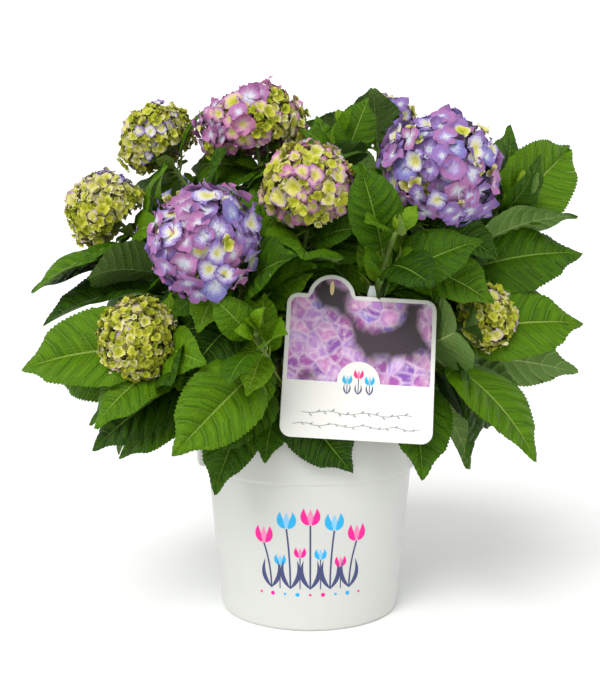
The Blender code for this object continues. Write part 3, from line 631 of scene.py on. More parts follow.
def whole_leaf(leaf):
    """The blade and its stalk as one thin solid."""
    return loft([stalk_section(leaf), *leaf_sections(leaf)], leaf_tip(leaf))


def outside(root, way):
    """Level, out of the crown: away from its middle, and square to the leaf on its outer side."""
    radial = Vector((root.x * SIDE_LIGHT, root.y - MIDDLE_DEPTH, 0))
    side = Vector((way.y, -way.x, 0))
    outer = max(-1.0, min(1.0, side.dot(radial) / MIDDLE_DEPTH))
    return radial.normalized() * OUTER_PULL + side * outer * SIDE_PULL


def pair_place(shoot, path, pair):
    """How far along its stem a pair of leaves stands."""
    neck = NECK + shoot.bloom * HEAD_NECK
    span = path.length - neck - path.leafy_start
    return path.length - neck - span * (pair + FIRST_PAIR) / shoot.pairs


def leaf_wish(shoot, path, pair, side, chance):
    """How one leaf of an opposite pair would stand with nothing in its way."""
    distance = pair_place(shoot, path, pair)
    along = path.along(distance)
    level = along.cross(UP)
    level = level.normalized() if level.length > 0.05 else Vector((1, 0, 0))
    turn = math.radians(shoot.twist + 90 * pair + 180 * side)
    turn += chance.uniform(-TURN_VARIES, TURN_VARIES)
    outward = Matrix.Rotation(turn, 3, along) @ level
    if shoot.bloom == 0 and pair == 0:
        size, angle, droop = YOUNG_SIZE, LEAF_ANGLE * YOUNG_CLOSED, 0
    else:
        order = pair if shoot.bloom else pair - 1
        size, droop = SIZES[order], DROOP + LOWER_DROOP * order
        angle = LEAF_ANGLE + (FLATTER[pair] if shoot.bloom else 0)
    way = along * math.cos(angle) + outward * math.sin(angle)
    way.z -= droop
    way.normalize()
    size *= chance.uniform(*SIZE_VARIES)
    root = path.at(distance)
    return Leaf(
        root=root,
        way=way,
        face=along * ALONG_PULL + UP * UP_PULL + outside(root, way),
        length=shoot.leaf * size,
        stalk=STALK * (SHORTEST_STALK + STALK_GROWTH * size),
        arch=ARCH * chance.uniform(*ARCH_VARIES),
    )


def aimed(leaf, tip):
    """The leaf turned and sized so that its tip comes to a given place."""
    reach = tip - leaf.root
    stalk_needed = min(max(leaf.stalk, reach.length - LONGEST_LEAF), LONGEST_STALK)
    turned = leaf._replace(way=reach.normalized(), stalk=stalk_needed)
    chord = tip - leaf_frame(turned).translation
    half = leaf.arch / 2
    length = min(chord.length * half / math.sin(half), LONGEST_LEAF)
    return turned._replace(way=chord.normalized(), length=length)


def nudged(leaf, attempt):
    """The leaf turned further from its wish with each attempt, and made a little smaller."""
    spin = attempt * NUDGE_SPIN
    reach = NUDGE_REACH * math.sqrt(attempt)
    level = Vector((leaf.way.y, -leaf.way.x, 0.02)).normalized()
    other = level.cross(leaf.way)
    way = leaf.way + level * reach * math.cos(spin) + other * reach * math.sin(spin)
    return leaf._replace(way=way.normalized(), length=leaf.length * (1 - NUDGE_SHRINK * attempt))


def on_ball(height, turn):
    """The point of a ball of radius 1 at a height, at a turn about its axis."""
    flat = math.sqrt(1 - height * height)
    return Vector((flat * math.cos(turn), flat * math.sin(turn), height))


def scatter(chance, low, high):
    """A vector of three numbers drawn from one range."""
    return Vector([chance.uniform(low, high) for _ in range(3)])


def head_points(shoot):
    """A flower head's surface about its own middle: florets, their sepal tips and the underside."""
    chance = random.Random(f"{SEED} {shoot.name} head")
    golden = math.pi * (3 - math.sqrt(5))
    sepal_reach = 1 / math.sqrt(FLORETS)
    points = []
    for i in range(FLORETS):
        place = on_ball(1 - (1 - math.cos(CLUSTER_END)) * (i + 0.5) / FLORETS, golden * i)
        turn = Matrix.Rotation(chance.uniform(0, math.pi / 2), 3, place)
        across = turn @ place.orthogonal().normalized()
        proud = chance.uniform(*FLORET_PROUD)
        points.append(place * proud * FLORET_CUP)
        for k in range(4):
            way = Matrix.Rotation(math.pi / 2 * k, 3, place) @ across
            tip = proud * chance.uniform(FLORET_CUP, SEPAL_PROUD)
            points.append((place + way * sepal_reach).normalized() * tip)
    for k in range(UNDERSIDE_POINTS):
        points.append(on_ball(math.cos(UNDERSIDE), math.tau * k / UNDERSIDE_POINTS) * UNDERSIDE_REACH)
    return [*points, Vector((0, 0, -UNDERSIDE_DEPTH))]


def head_surface(shoot):
    """The flower head in place, as points and faces: a knobbly dome."""
    points = head_points(shoot)
    hull = bmesh.new()
    for index, p in enumerate(points):
        hull.verts.new(p.normalized()).index = index
    bmesh.ops.convex_hull(hull, input=list(hull.verts))
    faces = [tuple(v.index for v in face.verts) for face in hull.faces]
    used = sorted({index for face in faces for index in face})
    hull.free()
    turn = UP.rotation_difference(facing(shoot)).to_matrix()
    depth = Matrix.Diagonal((1, 1, HEAD_DEPTH))
    placed = [Vector(shoot.head) + turn @ (depth @ points[i]) * shoot.bloom for i in used]
    renamed = {old: new for new, old in enumerate(used)}
    return placed, [tuple(renamed[i] for i in face) for face in faces]


def wall_radius(z):
    """The container's outer radius at a height, without its step and grips."""
    if z < STEP_HEIGHT:
        return FOOT_RADIUS + (STEP_RADIUS - FOOT_RADIUS) * z / STEP_HEIGHT
    share = (z - STEP_HEIGHT) / (POT_HEIGHT - STEP_HEIGHT)
    return STEP_RADIUS + STEP_OUT + (RIM_RADIUS - STEP_RADIUS - STEP_OUT) * share


def inner_radius(z):
    return wall_radius(z) - WALL


def card_matrix():
    """The card's axes: X along its lower edge, Y up it, Z out of its front."""
    across = Vector((math.cos(CARD_TURN), 0, -math.sin(CARD_TURN)))
    upright = Vector((math.sin(CARD_TURN), 0, math.cos(CARD_TURN)))
    up = upright * math.cos(CARD_LEAN) + Vector((0, 1, 0)) * math.sin(CARD_LEAN)
    matrix = Matrix((across, up, across.cross(up))).transposed().to_4x4()
    matrix.translation = CARD_MIDDLE
    return matrix


def arc_points(x, y, radius, first, last, count):
    turns = [math.radians(first + (last - first) * i / (count - 1)) for i in range(count)]
    return [(x + radius * math.cos(t), y + radius * math.sin(t)) for t in turns]


def card_outline(steps=5, tab_steps=13):
    """A rectangle with round corners and a round tab on its top edge, counterclockwise."""
    x, y = CARD_WIDTH / 2 - CARD_CORNER, CARD_HEIGHT / 2 - CARD_CORNER
    drop = ARCH_RADIUS - ARCH_RISE
    foot = math.degrees(math.asin(drop / ARCH_RADIUS))
    points = arc_points(x, -y, CARD_CORNER, -90, 0, steps)
    points += arc_points(x, y, CARD_CORNER, 0, 90, steps)
    points += arc_points(ARCH_ASIDE, CARD_HEIGHT / 2 - drop, ARCH_RADIUS, foot, 180 - foot, tab_steps)
    points += arc_points(-x, y, CARD_CORNER, 90, 180, steps)
    points += arc_points(-x, -y, CARD_CORNER, 180, 270, steps)
    return points


def card_view():
    """The space before the card that leaves keep out of, so that it can be read."""
    matrix = card_matrix()
    front, back = (
        [matrix @ Vector((x, y, depth)) for x, y in card_outline()]
        for depth in (CARD_VIEW, CARD_THICKNESS)
    )
    count = len(front)
    sides = [(i, (i + 1) % count, (i + 1) % count + count, i + count) for i in range(count)]
    return front + back, [*sides, tuple(range(count)), tuple(range(count, 2 * count))]


# Finding the growth again in the solids

def corner_tree(name):
    """The corners of a node's solid, to look up by place."""
    corners = frame["nodes"][name].data.vertices
    tree = KDTree(len(corners))
    for index, corner in enumerate(corners):
        tree.insert(corner.co, index)
    tree.balance()
    return tree


def standing_path(shoot, knuckle, rising):
    """The path that the shoot's solid cane follows, of all that it may have bowed aside to."""
    corners = corner_tree("cane_" + shoot.name)
    chance = random.Random(f"{SEED} {shoot.name} stem")
    end = Vector(shoot.head) - facing(shoot) * shoot.bloom * STEM_IN_HEAD
    start = knuckle + rising * (KNUCKLE_RADIUS + GAP)
    tried = []
    for attempt in range(TRIES):
        bow = scatter(chance, -1, 1) * BOW_STEP * attempt
        tried.append(Path(start, rising, end, facing(shoot), bow))

    def strays(path):
        return sum(abs(corners.find(p)[2] - r) for p, r in zip(*cane_points(path)))

    return min(tried, key=strays)


def standing_leaf(wish, corners):
    """The leaf as it was nudged into its solid, or None where it found no room."""
    def shared(leaf):
        return sum(corners.find(p)[2] < SAME_CORNER for p in whole_leaf(leaf)[0])

    best = max((nudged(wish, attempt) for attempt in range(TRIES)), key=shared)
    return best if shared(best) >= CORNERS_SHARED else None


def growing(paths, purpose):
    """Each shoot with its path and its own seeded chance."""
    for shoot in SHOOTS:
        yield shoot, paths[shoot.name], random.Random(f"{SEED} {shoot.name} {purpose}")


def standing_leaves(paths):
    """Every leaf of every shoot's solid, by shoot."""
    found = {}
    for shoot, path, chance in growing(paths, "leaves"):
        corners = corner_tree("foliage_" + shoot.name)
        places = [(pair, side) for pair in range(shoot.pairs) for side in (0, 1)]
        wishes = [leaf_wish(shoot, path, pair, side, chance) for pair, side in places]
        asked = []
        for tip in map(Vector, shoot.tips):
            own = [wish for wish in wishes if wish.length > AIM_FROM]
            if own:
                nearest = min(own, key=lambda wish: (tip - leaf_tip(wish)).length)
                wishes.remove(nearest)
                asked.append(aimed(nearest, tip))
        stood = [standing_leaf(wish, corners) for wish in asked + wishes]
        found[shoot.name] = [leaf for leaf in stood if leaf]
    return found


# Finer growth between the leaves of the solids

class Growth(NamedTuple):
    """The shrub as it stands. twigs are (places, radii) of the side shoots."""

    paths: dict
    leaves: dict
    twigs: list


def standing_crowd(paths, leaves):
    """All that finer growth has to keep clear of."""
    crowd = Crowd()
    crowd.add("card_view", *card_view())
    for name in ("pot", "soil", "label_card", "label_stake", "trunk"):
        mesh = frame["nodes"][name].data
        crowd.add(name, [v.co.copy() for v in mesh.vertices], [tuple(p.vertices) for p in mesh.polygons])
    for shoot in SHOOTS:
        path = paths[shoot.name]
        crowd.add("cane_" + shoot.name, *tube(*cane_points(path)))
        crowd.add("stem_" + shoot.name, *tube(*stem_points(path)))
        if shoot.bloom:
            crowd.add(shoot.name, *head_surface(shoot))
        for leaf in leaves[shoot.name]:
            crowd.add(shoot.name, *blade(leaf))
            crowd.add(shoot.name, *stalk(leaf))
    return crowd


def small_seat(wish, crowd, own):
    """The first clear stand of a small leaf, or None."""
    for attempt in range(SMALL_TRIES):
        leaf = nudged(wish, attempt * SMALL_NUDGE)
        if within_reach(leaf_tip(leaf)) and not crowd.meets(*blade(leaf, SMALL_CLEARANCE)) - own:
            return leaf
    return None


def within_reach(place):
    low, high = solid_box
    return all(low[k] <= place[k] <= high[k] for k in range(3))


def small_leaf(root, way, length, chance):
    return Leaf(
        root=root,
        way=way.normalized(),
        face=UP + outside(root, way) + scatter(chance, -SMALL_TILT, SMALL_TILT),
        length=length,
        stalk=length * SMALL_STALK,
        arch=ARCH * chance.uniform(*ARCH_VARIES),
    )


def side_shoot(leaf, along, chance):
    """A young twig out of a leaf's axil: its places, and the wishes of its few leaves."""
    rising = (along * 0.9 + leaf.way * 0.7 + UP * 0.25).normalized()
    length = chance.uniform(*TWIG_LENGTHS)
    end = leaf.root + rising * length
    places = [leaf.root, leaf.root + (rising * 0.6 + leaf.way * 0.25) * length * 0.6, end]
    across = rising.cross(leaf.way).normalized()
    wishes = []
    for share, size, angle in TWIG_PAIRS:
        root = leaf.root.lerp(end, share)
        for side in (1, -1):
            way = rising * math.cos(angle) + across * side * math.sin(angle)
            long = chance.uniform(*SMALL_LEAVES) * size
            wishes.append(small_leaf(root, way - UP * 0.15 * size, long, chance))
        across = rising.cross(across).normalized()
    return places, wishes


def grow_side_shoots(paths, leaves, crowd):
    """Young twigs in the axils of the long leaves, wherever they find room."""
    twigs = []
    for shoot, path, chance in growing(paths, "side shoots"):
        own = {"stem_" + shoot.name}
        for leaf in leaves[shoot.name]:
            nearest = min(np.linspace(0, path.length, 60), key=lambda d: (path.at(d) - leaf.root).length)
            places, wishes = side_shoot(leaf, path.along(nearest), chance)
            if leaf.length < SHOOTS_FROM or chance.random() > SHOOTS_SHARE:
                continue
            radii = np.linspace(TWIG_RADIUS, TWIG_RADIUS * TWIG_TAPER, len(places))
            if crowd.meets(*tube(places, radii)) - own - {shoot.name}:
                continue
            placed = [small for small in (small_seat(wish, crowd, own) for wish in wishes) if small]
            if len(placed) < 2:
                continue
            twigs.append((places, radii))
            crowd.add("twig", *tube(places, radii))
            for small in placed:
                crowd.grow(shoot.name, small)
    return twigs


def grow_round(shoot, path, distance, turn, ring, crowd, chance):
    """One small leaf at a turn about a stem, if it finds room. ring is its count, angles and lengths."""
    along = path.along(distance)
    angle = math.radians(chance.uniform(*ring[1]))
    outward = Matrix.Rotation(turn, 3, along) @ along.orthogonal().normalized()
    way = along * math.cos(angle) + outward * math.sin(angle)
    wish = small_leaf(path.at(distance), way, chance.uniform(*ring[2]), chance)
    leaf = small_seat(wish, crowd, {"stem_" + shoot.name, "cane_" + shoot.name})
    if leaf:
        crowd.grow(shoot.name, leaf)


def grow_collars(paths, crowd):
    """The small leaves just under each flower head, and the folded ones at each leafy tip."""
    for shoot, path, chance in growing(paths, "collar"):
        distance = path.length - shoot.bloom * COLLAR_DEPTH
        ring = COLLAR if shoot.bloom else TIP
        for k in range(ring[0]):
            turn = math.tau * k / ring[0] + chance.uniform(-RING_DRIFT, RING_DRIFT)
            grow_round(shoot, path, distance, turn, ring, crowd, chance)


def grow_inner_leaves(paths, crowd):
    """Leaves on the older wood, wherever the crown still has room."""
    for shoot, path, chance in growing(paths, "inner leaves"):
        for _ in range(INNER[0]):
            distance = path.length * chance.uniform(*INNER_STRETCH)
            grow_round(shoot, path, distance, chance.uniform(0, math.tau), INNER, crowd, chance)


def filling_wishes(paths, tip, chance):
    """Leaves whose tip comes to a place, from all stems, with the likeliest length first."""
    wishes = []
    for name, path in paths.items():
        for root in path.between(path.length * FILLING_FROM, path.length * FILLING_TO, FILLING_ROOTS):
            long = (tip - root).length / (1 + FILLING_STALK)
            if FILLING_LENGTHS[0] < long < FILLING_LENGTHS[1]:
                wish = small_leaf(root, tip - root, long, chance)._replace(stalk=long * FILLING_STALK)
                wishes.append((abs(long - FILLING_LENGTH), name, wish))
    wishes.sort(key=lambda wish: wish[0])
    return [wish[1:] for wish in wishes[:FILLING_TRIED]]


def grow_filling(paths, crowd):
    """Long leaves that fill the last gaps seen from outside."""
    for tip in map(Vector, FILLING):
        chance = random.Random(f"{SEED} {tip[:]} filling")
        clear = (
            (name, leaf)
            for name, wish in filling_wishes(paths, tip, chance)
            for leaf in (nudged(wish, attempt) for attempt in range(FILLING_NUDGES))
            if not crowd.meets(*blade(leaf)) - {"stem_" + name, "cane_" + name}
        )
        found = next(clear, None)
        if found:
            crowd.grow(*found)


@functools.cache
def grown():
    ways = rising_ways()
    paths = {shoot.name: standing_path(shoot, *ways[shoot.name]) for shoot in SHOOTS}
    leaves = standing_leaves(paths)
    crowd = standing_crowd(paths, leaves)
    grow_filling(paths, crowd)
    grow_collars(paths, crowd)
    twigs = grow_side_shoots(paths, leaves, crowd)
    grow_inner_leaves(paths, crowd)
    return Growth(paths, {name: leaves[name] + crowd.grown[name] for name in leaves}, twigs)


# Meshes from arrays

class Pile:
    """Points and faces gathered from many small shapes, to be made into one object.
    A face is a row of four corners, and a triangle's last corner is -1."""

    def __init__(self):
        self.points = []
        self.faces = []
        self.slots = []
        self.count = 0

    def add(self, points, faces, slots):
        faces = np.asarray(faces)
        self.points.append(np.asarray(points, float))
        self.faces.append(np.where(faces < 0, -1, faces + self.count))
        self.slots.append(np.broadcast_to(np.asarray(slots), len(faces)))
        self.count += len(points)

    def make(self, name, materials):
        points, faces = np.concatenate(self.points), np.concatenate(self.faces)
        sides = np.where(faces[:, 3] < 0, 3, 4)
        corners = faces[faces >= 0]
        mesh = bpy.data.meshes.new(name)
        mesh.vertices.add(len(points))
        mesh.vertices.foreach_set("co", points.astype(np.float32).ravel())
        mesh.loops.add(len(corners))
        mesh.loops.foreach_set("vertex_index", corners.astype(np.int32))
        mesh.polygons.add(len(faces))
        mesh.polygons.foreach_set("loop_start", (np.cumsum(sides) - sides).astype(np.int32))
        mesh.polygons.foreach_set("material_index", np.concatenate(self.slots).astype(np.int32))
        mesh.polygons.foreach_set("use_smooth", np.ones(len(faces), bool))
        mesh.update(calc_edges=True)
        mesh.validate()
        for material in materials:
            mesh.materials.append(material)
        return linked(name, mesh)


def linked(name, mesh):
    made = bpy.data.objects.new(name, mesh)
    bpy.context.scene.collection.objects.link(made)
    return made


def settle(piece, slot, *nodes):
    """Hangs a piece on the shrub's body, in place of the solids that it stands for."""
    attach(piece, BODY)
    if nodes:
        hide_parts(*nodes)
    return piece


def grid_faces(rows, columns, closed=False):
    """Faces between the points of a grid that is listed row by row."""
    i, j = np.meshgrid(np.arange(rows - 1), np.arange(columns if closed else columns - 1), indexing="ij")
    i, j = i.ravel(), j.ravel()
    n = (j + 1) % columns
    return np.stack([i * columns + j, i * columns + n, (i + 1) * columns + n, (i + 1) * columns + j], axis=1)


def fan(tip, ring):
    """Triangles from one point to each step of a row of points."""
    ring = np.asarray(ring)
    return np.stack([np.full(len(ring) - 1, tip), ring[:-1], ring[1:], np.full(len(ring) - 1, -1)], axis=1)


def turned(faces, first=0):
    """The faces with their other side out, split the same way, and their corners counted from first."""
    quads = faces[:, [0, 3, 2, 1]]
    triangles = faces[:, [2, 1, 0, 3]]
    faces = np.where(faces[:, 3:] < 0, triangles, quads)
    return np.where(faces < 0, -1, faces + first)


def tube_faces(rings, sides):
    """The faces of a closed tube, whose two end points follow its rings."""
    ring, count = np.arange(sides + 1) % sides, rings * sides
    ends = fan(count, ring[::-1]), fan(count + 1, count - sides + ring)
    return np.concatenate([grid_faces(rings, sides, closed=True), *ends])


def circle(count):
    """Points round a circle of radius 1, as rows."""
    turns = math.tau * np.arange(count) / count
    return np.stack([np.cos(turns), np.sin(turns)], axis=1)


def carried(points, matrix):
    """Rows of points, moved into place by a matrix."""
    place = np.array(matrix)
    return points @ place[:3, :3].T + place[:3, 3]


def tube_mesh(places, radii, sides):
    """A round tube with closed ends as arrays."""
    places = np.asarray([tuple(p) for p in places])
    along = np.gradient(places, axis=0)
    along /= np.linalg.norm(along, axis=1)[:, None]
    side = np.asarray(Vector(along[0]).orthogonal().normalized())
    cos, sin = circle(sides).T
    rings = []
    for place, way, radius in zip(places, along, radii):
        side = side - way * side.dot(way)
        side /= np.linalg.norm(side)
        other = np.cross(way, side)
        rings.append(place + radius * (np.outer(cos, side) + np.outer(sin, other)))
    points = np.concatenate([*rings, places[:1], places[-1:]])
    return points, tube_faces(len(places), sides)


def smooth(x):
    x = np.clip(x, 0, 1)
    return x * x * (3 - 2 * x)


# Leaves

def blade_lines(veins, steps):
    """Lines across the blade from base to tip: where each starts on the midrib, its share of
    the way from one vein to the next, and whether it ends in a tooth."""
    apart = (VEINS_TO - VEINS_FROM) / (veins - 1)
    marks = [0.0, *(VEINS_FROM + apart * i for i in range(veins)), 1.0]
    lines = []
    for k in range(veins + 1):
        low = marks[k] + (VEIN_HALF if k else 0)
        high = marks[k + 1] - (VEIN_HALF if k < veins else 0)
        for j in range(0 if k else 1, steps + (k < veins)):
            share = j / steps
            lines.append((low + (high - low) * share, share, j % 2))
    return np.array(lines).T


class BladePattern:
    """The corners of any blade as shares of its length and half width, and its faces, with the
    upper side first. part says what a face belongs to: 0 blade, 1 side vein, 2 midrib. light is
    painted shade of the quilting on each upper face: lighter in the middle of each pillow between
    two veins, darker along the vein grooves and beside the midrib."""

    def __init__(self, veins, steps, columns, under_columns):
        self.lines = blade_lines(veins, steps)
        self.top = self.corners(columns)
        self.under = self.corners(under_columns)
        rows, wide, low_wide = self.lines.shape[1], len(columns), len(under_columns)
        upper = self.skin(rows, wide)
        self.faces = np.concatenate([upper, turned(self.skin(rows, low_wide), rows * wide + 2)])
        self.top_count = len(upper)
        self.part = np.concatenate([self.parts(columns), self.parts(under_columns)])
        # Painted shade of the quilting: faces lighter midway between two veins, darker towards the vein
        # grooves and beside the midrib groove.
        shares = self.lines[1]
        between = ((shares[:-1] + shares[1:]) / 2)[:, None]
        across = ((np.abs(columns[:-1]) + np.abs(columns[1:])) / 2)[None, :]
        light = np.sin(math.pi * between) * (0.75 - 0.25 * across) + 0.25 * smooth(across / 0.3)
        light = light + (across > 0.9) * 0.3
        self.light = np.concatenate([light.ravel(), np.full(2 * (wide - 1), 0.5)])

    def corners(self, columns):
        """Length share, signed half width share, tooth and vein share of each corner."""
        start, share, tooth = (row[:, None] for row in self.lines)
        w = np.asarray(columns)[None, :]
        lead = VEIN_LEAD * smooth(start / 0.16) * (1 - start) ** 0.85
        s = start + lead * np.abs(w) ** VEIN_CURVE
        edge = tooth * (np.abs(w) > 0.99)
        rows = [s, w + 0 * s, edge, share + 0 * s]
        return np.stack([np.append(row.ravel(), (0, 1 if k == 0 else 0)) for k, row in enumerate(rows)])

    def parts(self, columns):
        shares = self.lines[1]
        vein = (shares[:-1] > 0.99) & (shares[1:] < 0.01)
        middle = np.abs(np.asarray(columns)) < MIDRIB_HALF * 1.01
        middle = (middle[:-1] & middle[1:]).astype(int) * 2
        return np.concatenate([np.maximum(vein[:, None] * 1, middle[None, :]).ravel(), middle, middle])

    @staticmethod
    def skin(rows, wide):
        """The quads between the lines, then the triangles at the base and at the tip."""
        quads = grid_faces(rows, wide)
        base, tip = rows * wide, rows * wide + 1
        first = fan(base, np.arange(wide)[::-1])
        last = fan(tip, (rows - 1) * wide + np.arange(wide))
        return np.concatenate([quads, first, last])


def blade_outline(s):
    """Half width at a share of the length, drawn out to a fine tip."""
    inside = np.clip(s, 1e-6, 1 - 1e-6)
    fine = 1 - TIP_DRAWN * np.sin(math.pi * np.clip((inside - 0.76) / 0.24, 0, 1))
    return np.where((s <= 0) | (s >= 1), 0, half_width(inside) * fine)


def blade_places(leaf, habit, corners, sink):
    """World places of the corners of one leaf's side, sink below its middle sheet."""
    s, w, tooth, share = corners
    length, wide = leaf.length, leaf.length * WIDTH_TO_LENGTH / 2
    across = np.abs(w)
    keen = np.sin(math.pi * np.clip(s, 0, 1)) ** 0.5
    swelling = np.sin(math.pi * share) ** 0.7 * smooth(across / 0.22) * (1 - across ** 4) * keen
    rise = habit.quilting * length * swelling * (1 + 0.3 * np.sin(13 * s + habit.phase * 9))
    rise = rise - habit.groove * length * (across < 0.001) * keen - sink * (across < 0.99) * keen
    edge = tooth * (across > 0.99)
    s = s + edge * TOOTH_LEAN * keen
    x = wide * blade_outline(s) * w + np.sign(w) * edge * habit.teeth * length * keen
    bend = leaf.arch * (s - 0.5)
    half = leaf.arch / 2
    radius = length / leaf.arch
    lift = np.abs(x) * math.sin(FOLD) * (1.3 - 0.55 * w * w) * habit.fold
    lift = lift + habit.curl * length * w * w
    phase = np.where(w > 0, habit.phase, habit.phase * 1.7 + 1)
    lift = lift + habit.wave * length * np.sin(math.tau * (2.3 * s + phase)) * w * w * keen
    lift = lift + rise
    flat = x * math.cos(FOLD)
    turn = habit.twist * (s - 0.2)
    aside = flat * np.cos(turn) - lift * np.sin(turn) + habit.sway * length * (s * s - s * 0.6)
    above = flat * np.sin(turn) + lift * np.cos(turn)
    y = (np.sin(bend) + math.sin(half)) * radius + np.sin(bend) * above
    z = (np.cos(bend) - math.cos(half)) * radius + np.cos(bend) * above
    return carried(np.stack([aside, y, z], axis=1), leaf_frame(leaf))


class Habit(NamedTuple):
    """How one leaf differs from the next."""

    # tone picks the leaf's green among the blade tones, deeper inside the crown as painted shade of its
    # interior.
    tone: float
    fold: float
    curl: float
    wave: float
    phase: float
    twist: float
    sway: float
    teeth: float
    quilting: float
    groove: float


def leaf_habit(leaf, chance, look):
    """Leaves are deeper green inside the crown, a painted shade of its interior, and fresher when they are
    small or outermost.
    """
    # outward lightens leaves towards the outside of the crown and deepens them inside it: painted shade of
    # the crown's interior.
    outward = Vector((leaf.root.x, leaf.root.y, (leaf.root.z - CROWN_MIDDLE) * 1.2)).length
    young = max(0.0, 1 - leaf.length / 0.080)
    share = 0.04 + 1.15 * outward + 0.45 * young + chance.uniform(-0.19, 0.19)
    return Habit(
        tone=share * TONES,
        fold=chance.uniform(0.4, 1.7),
        curl=chance.uniform(-0.06, 0.03),
        wave=chance.uniform(0.008, 0.024),
        phase=chance.random(),
        twist=chance.uniform(-0.35, 0.35),
        sway=chance.uniform(-0.08, 0.08),
        teeth=look.teeth,
        quilting=look.quilting * chance.uniform(0.7, 1.5),
        groove=look.groove,
    )


def behind_card(points):
    """The points of a blade with those that would come through the card laid behind it."""
    place = np.array(card_matrix())
    local = (points - place[:3, 3]) @ place[:3, :3]
    inside = (np.abs(local[:, 0]) < CARD_WIDTH / 2) & (np.abs(local[:, 1]) < CARD_HEIGHT / 2)
    inside &= (local[:, 2] > -CARD_GAP) & (local[:, 2] < CARD_VIEW)
    local[inside, 2] = -CARD_GAP
    return carried(local, place)


def add_leaf(pile, leaf, pattern, look, chance):
    habit = leaf_habit(leaf, chance, look)
    top = blade_places(leaf, habit, pattern.top, 0.0)
    ribbed = np.abs(pattern.under[1]) < MIDRIB_HALF * 1.01
    under = blade_places(leaf, habit, pattern.under, look.thickness + ribbed * look.rib)
    mottle = np.random.default_rng(chance.getrandbits(32)).normal(0, 0.45, pattern.top_count)
    # The blade's tone takes the painted quilting shade from pattern.light, and habit.tone's painted shade of
    # the crown's interior.
    tone = habit.tone + 2.4 * (pattern.light - 0.5) + mottle
    slots = np.clip(np.round(tone), 0, TONES - 1)
    shade = int(np.clip(habit.tone / TONES * VEIN_TONES, 0, VEIN_TONES - 1))
    upper = np.choose(pattern.part[:pattern.top_count], [slots, TONES + shade, TONES + VEIN_TONES + shade])
    pale = TONES + 2 * VEIN_TONES + 2 * int(habit.tone > TONES / 2)
    lower = pale + np.minimum(pattern.part[pattern.top_count:], 1)
    points = behind_card(np.concatenate([top, under]))
    pile.add(points, pattern.faces, np.concatenate([upper, lower]).astype(int))
    add_stalk(pile, leaf, TONES + VEIN_TONES + shade)


def add_stalk(pile, leaf, slot):
    """The petiole, bowed a little and a touch stouter where it joins the stem."""
    place = leaf_frame(leaf)
    end = place.translation + place.to_3x3() @ Vector((0, 0.02 * leaf.length, -0.0004))
    reach = end - leaf.root
    leaving = leaf.root + reach * 0.33 - place.to_3x3() @ Vector((0, 0, 0.10 * reach.length))
    arriving = leaf.root + reach * 0.70 - place.to_3x3() @ Vector((0, 0, 0.07 * reach.length))
    places = interpolate_bezier(leaf.root, leaving, arriving, end, 7)
    radii = stalk_radius(leaf) * np.array([1.4, 1.05, 0.9, 0.85, 0.8, 0.75, 0.5])
    points, faces = tube_mesh(places, radii, 6)
    pile.add(points, faces, slot)


def make_leaves(look):
    materials = leaf_materials(look)
    patterns = (
        BladePattern(7, 6, WIDE_COLUMNS, WIDE_UNDER_COLUMNS),
        BladePattern(6, 4, SMALL_COLUMNS, UNDER_COLUMNS),
        BladePattern(5, 2, TINY_COLUMNS, (-1, 0, 1)),
    )
    for piece, names in LEAF_PIECES.items():
        pile = Pile()
        for name in names:
            chance = random.Random(f"{SEED} {name} blades")
            for leaf in grown().leaves[name]:
                pattern = patterns[(leaf.length < SMALL_FROM) + (leaf.length < TINY_FROM)]
                add_leaf(pile, leaf, pattern, look, chance)
        made = pile.make(piece, materials)
        settle(made, "foliage", *("foliage_" + name for name in names))


# Stems and bark

def stem_radius(path, distance, pairs):
    """Tapers towards the head, and swells where a pair of leaves stands."""
    share = distance / path.length
    radius = CANE_RADIUS + (TIP_RADIUS - CANE_RADIUS) * share
    for mark in pairs:
        radius += NODE_SWELL * math.exp(-(((distance - mark) / NODE_LENGTH) ** 2))
    return radius


def make_stems(look):
    """The canes from the knuckles to the heads, with the young twigs on them."""
    pile = Pile()
    for shoot in SHOOTS:
        path = grown().paths[shoot.name]
        count = int(path.length / STEM_STEP)
        distances = np.linspace(0, path.length, count)
        marks = [pair_place(shoot, path, pair) for pair in range(shoot.pairs)]
        radii = [stem_radius(path, d, marks) for d in distances]
        points, faces = tube_mesh([path.at(d) for d in distances], radii, STEM_SIDES)
        ring = np.minimum(faces[:, 0] // STEM_SIDES, count - 1)
        old = distances[ring] < path.leafy_start * look.woody_share
        pile.add(points, faces, np.where(old, 0, 1))
    for places, radii in grown().twigs:
        smooth_places = interpolate_bezier(places[0], places[1], places[1].lerp(places[2], 0.3), places[2], 7)
        points, faces = tube_mesh(smooth_places, np.linspace(radii[0], radii[-1], 7), 8)
        pile.add(points, faces, 1)
    made = pile.make("canes", [woody_material(look), green_stem_material(look)])
    return settle(made, "cane_bark", *("cane_" + shoot.name for shoot in SHOOTS))


def make_trunk(look):
    """The woody base, with the fissured relief of old bark."""
    mesh = frame["nodes"]["trunk"].data.copy()
    rough = linked("rough_trunk", mesh)
    remesh = rough.modifiers.new("even", "REMESH")
    remesh.mode = "VOXEL"
    remesh.voxel_size = look.bark_grain
    bpy.context.view_layer.update()
    even = bpy.data.meshes.new_from_object(rough.evaluated_get(bpy.context.evaluated_depsgraph_get()))
    bpy.data.objects.remove(rough, do_unlink=True)
    even.name = "trunk_bark"
    normals = [v.normal.copy() for v in even.vertices]
    for vertex, normal in zip(even.vertices, normals):
        place = vertex.co
        ridge = abs(noise.noise(Vector((place.x * 320, place.y * 320, place.z * 90))))
        lump = noise.noise(place * 140)
        vertex.co = place + normal * look.bark_relief * (0.6 - 1.4 * ridge + 0.5 * lump)
    even.materials.clear()
    even.materials.append(trunk_material(look))
    even.shade_smooth()
    return settle(linked("trunk_bark", even), "trunk_bark", "trunk")


# Flower heads

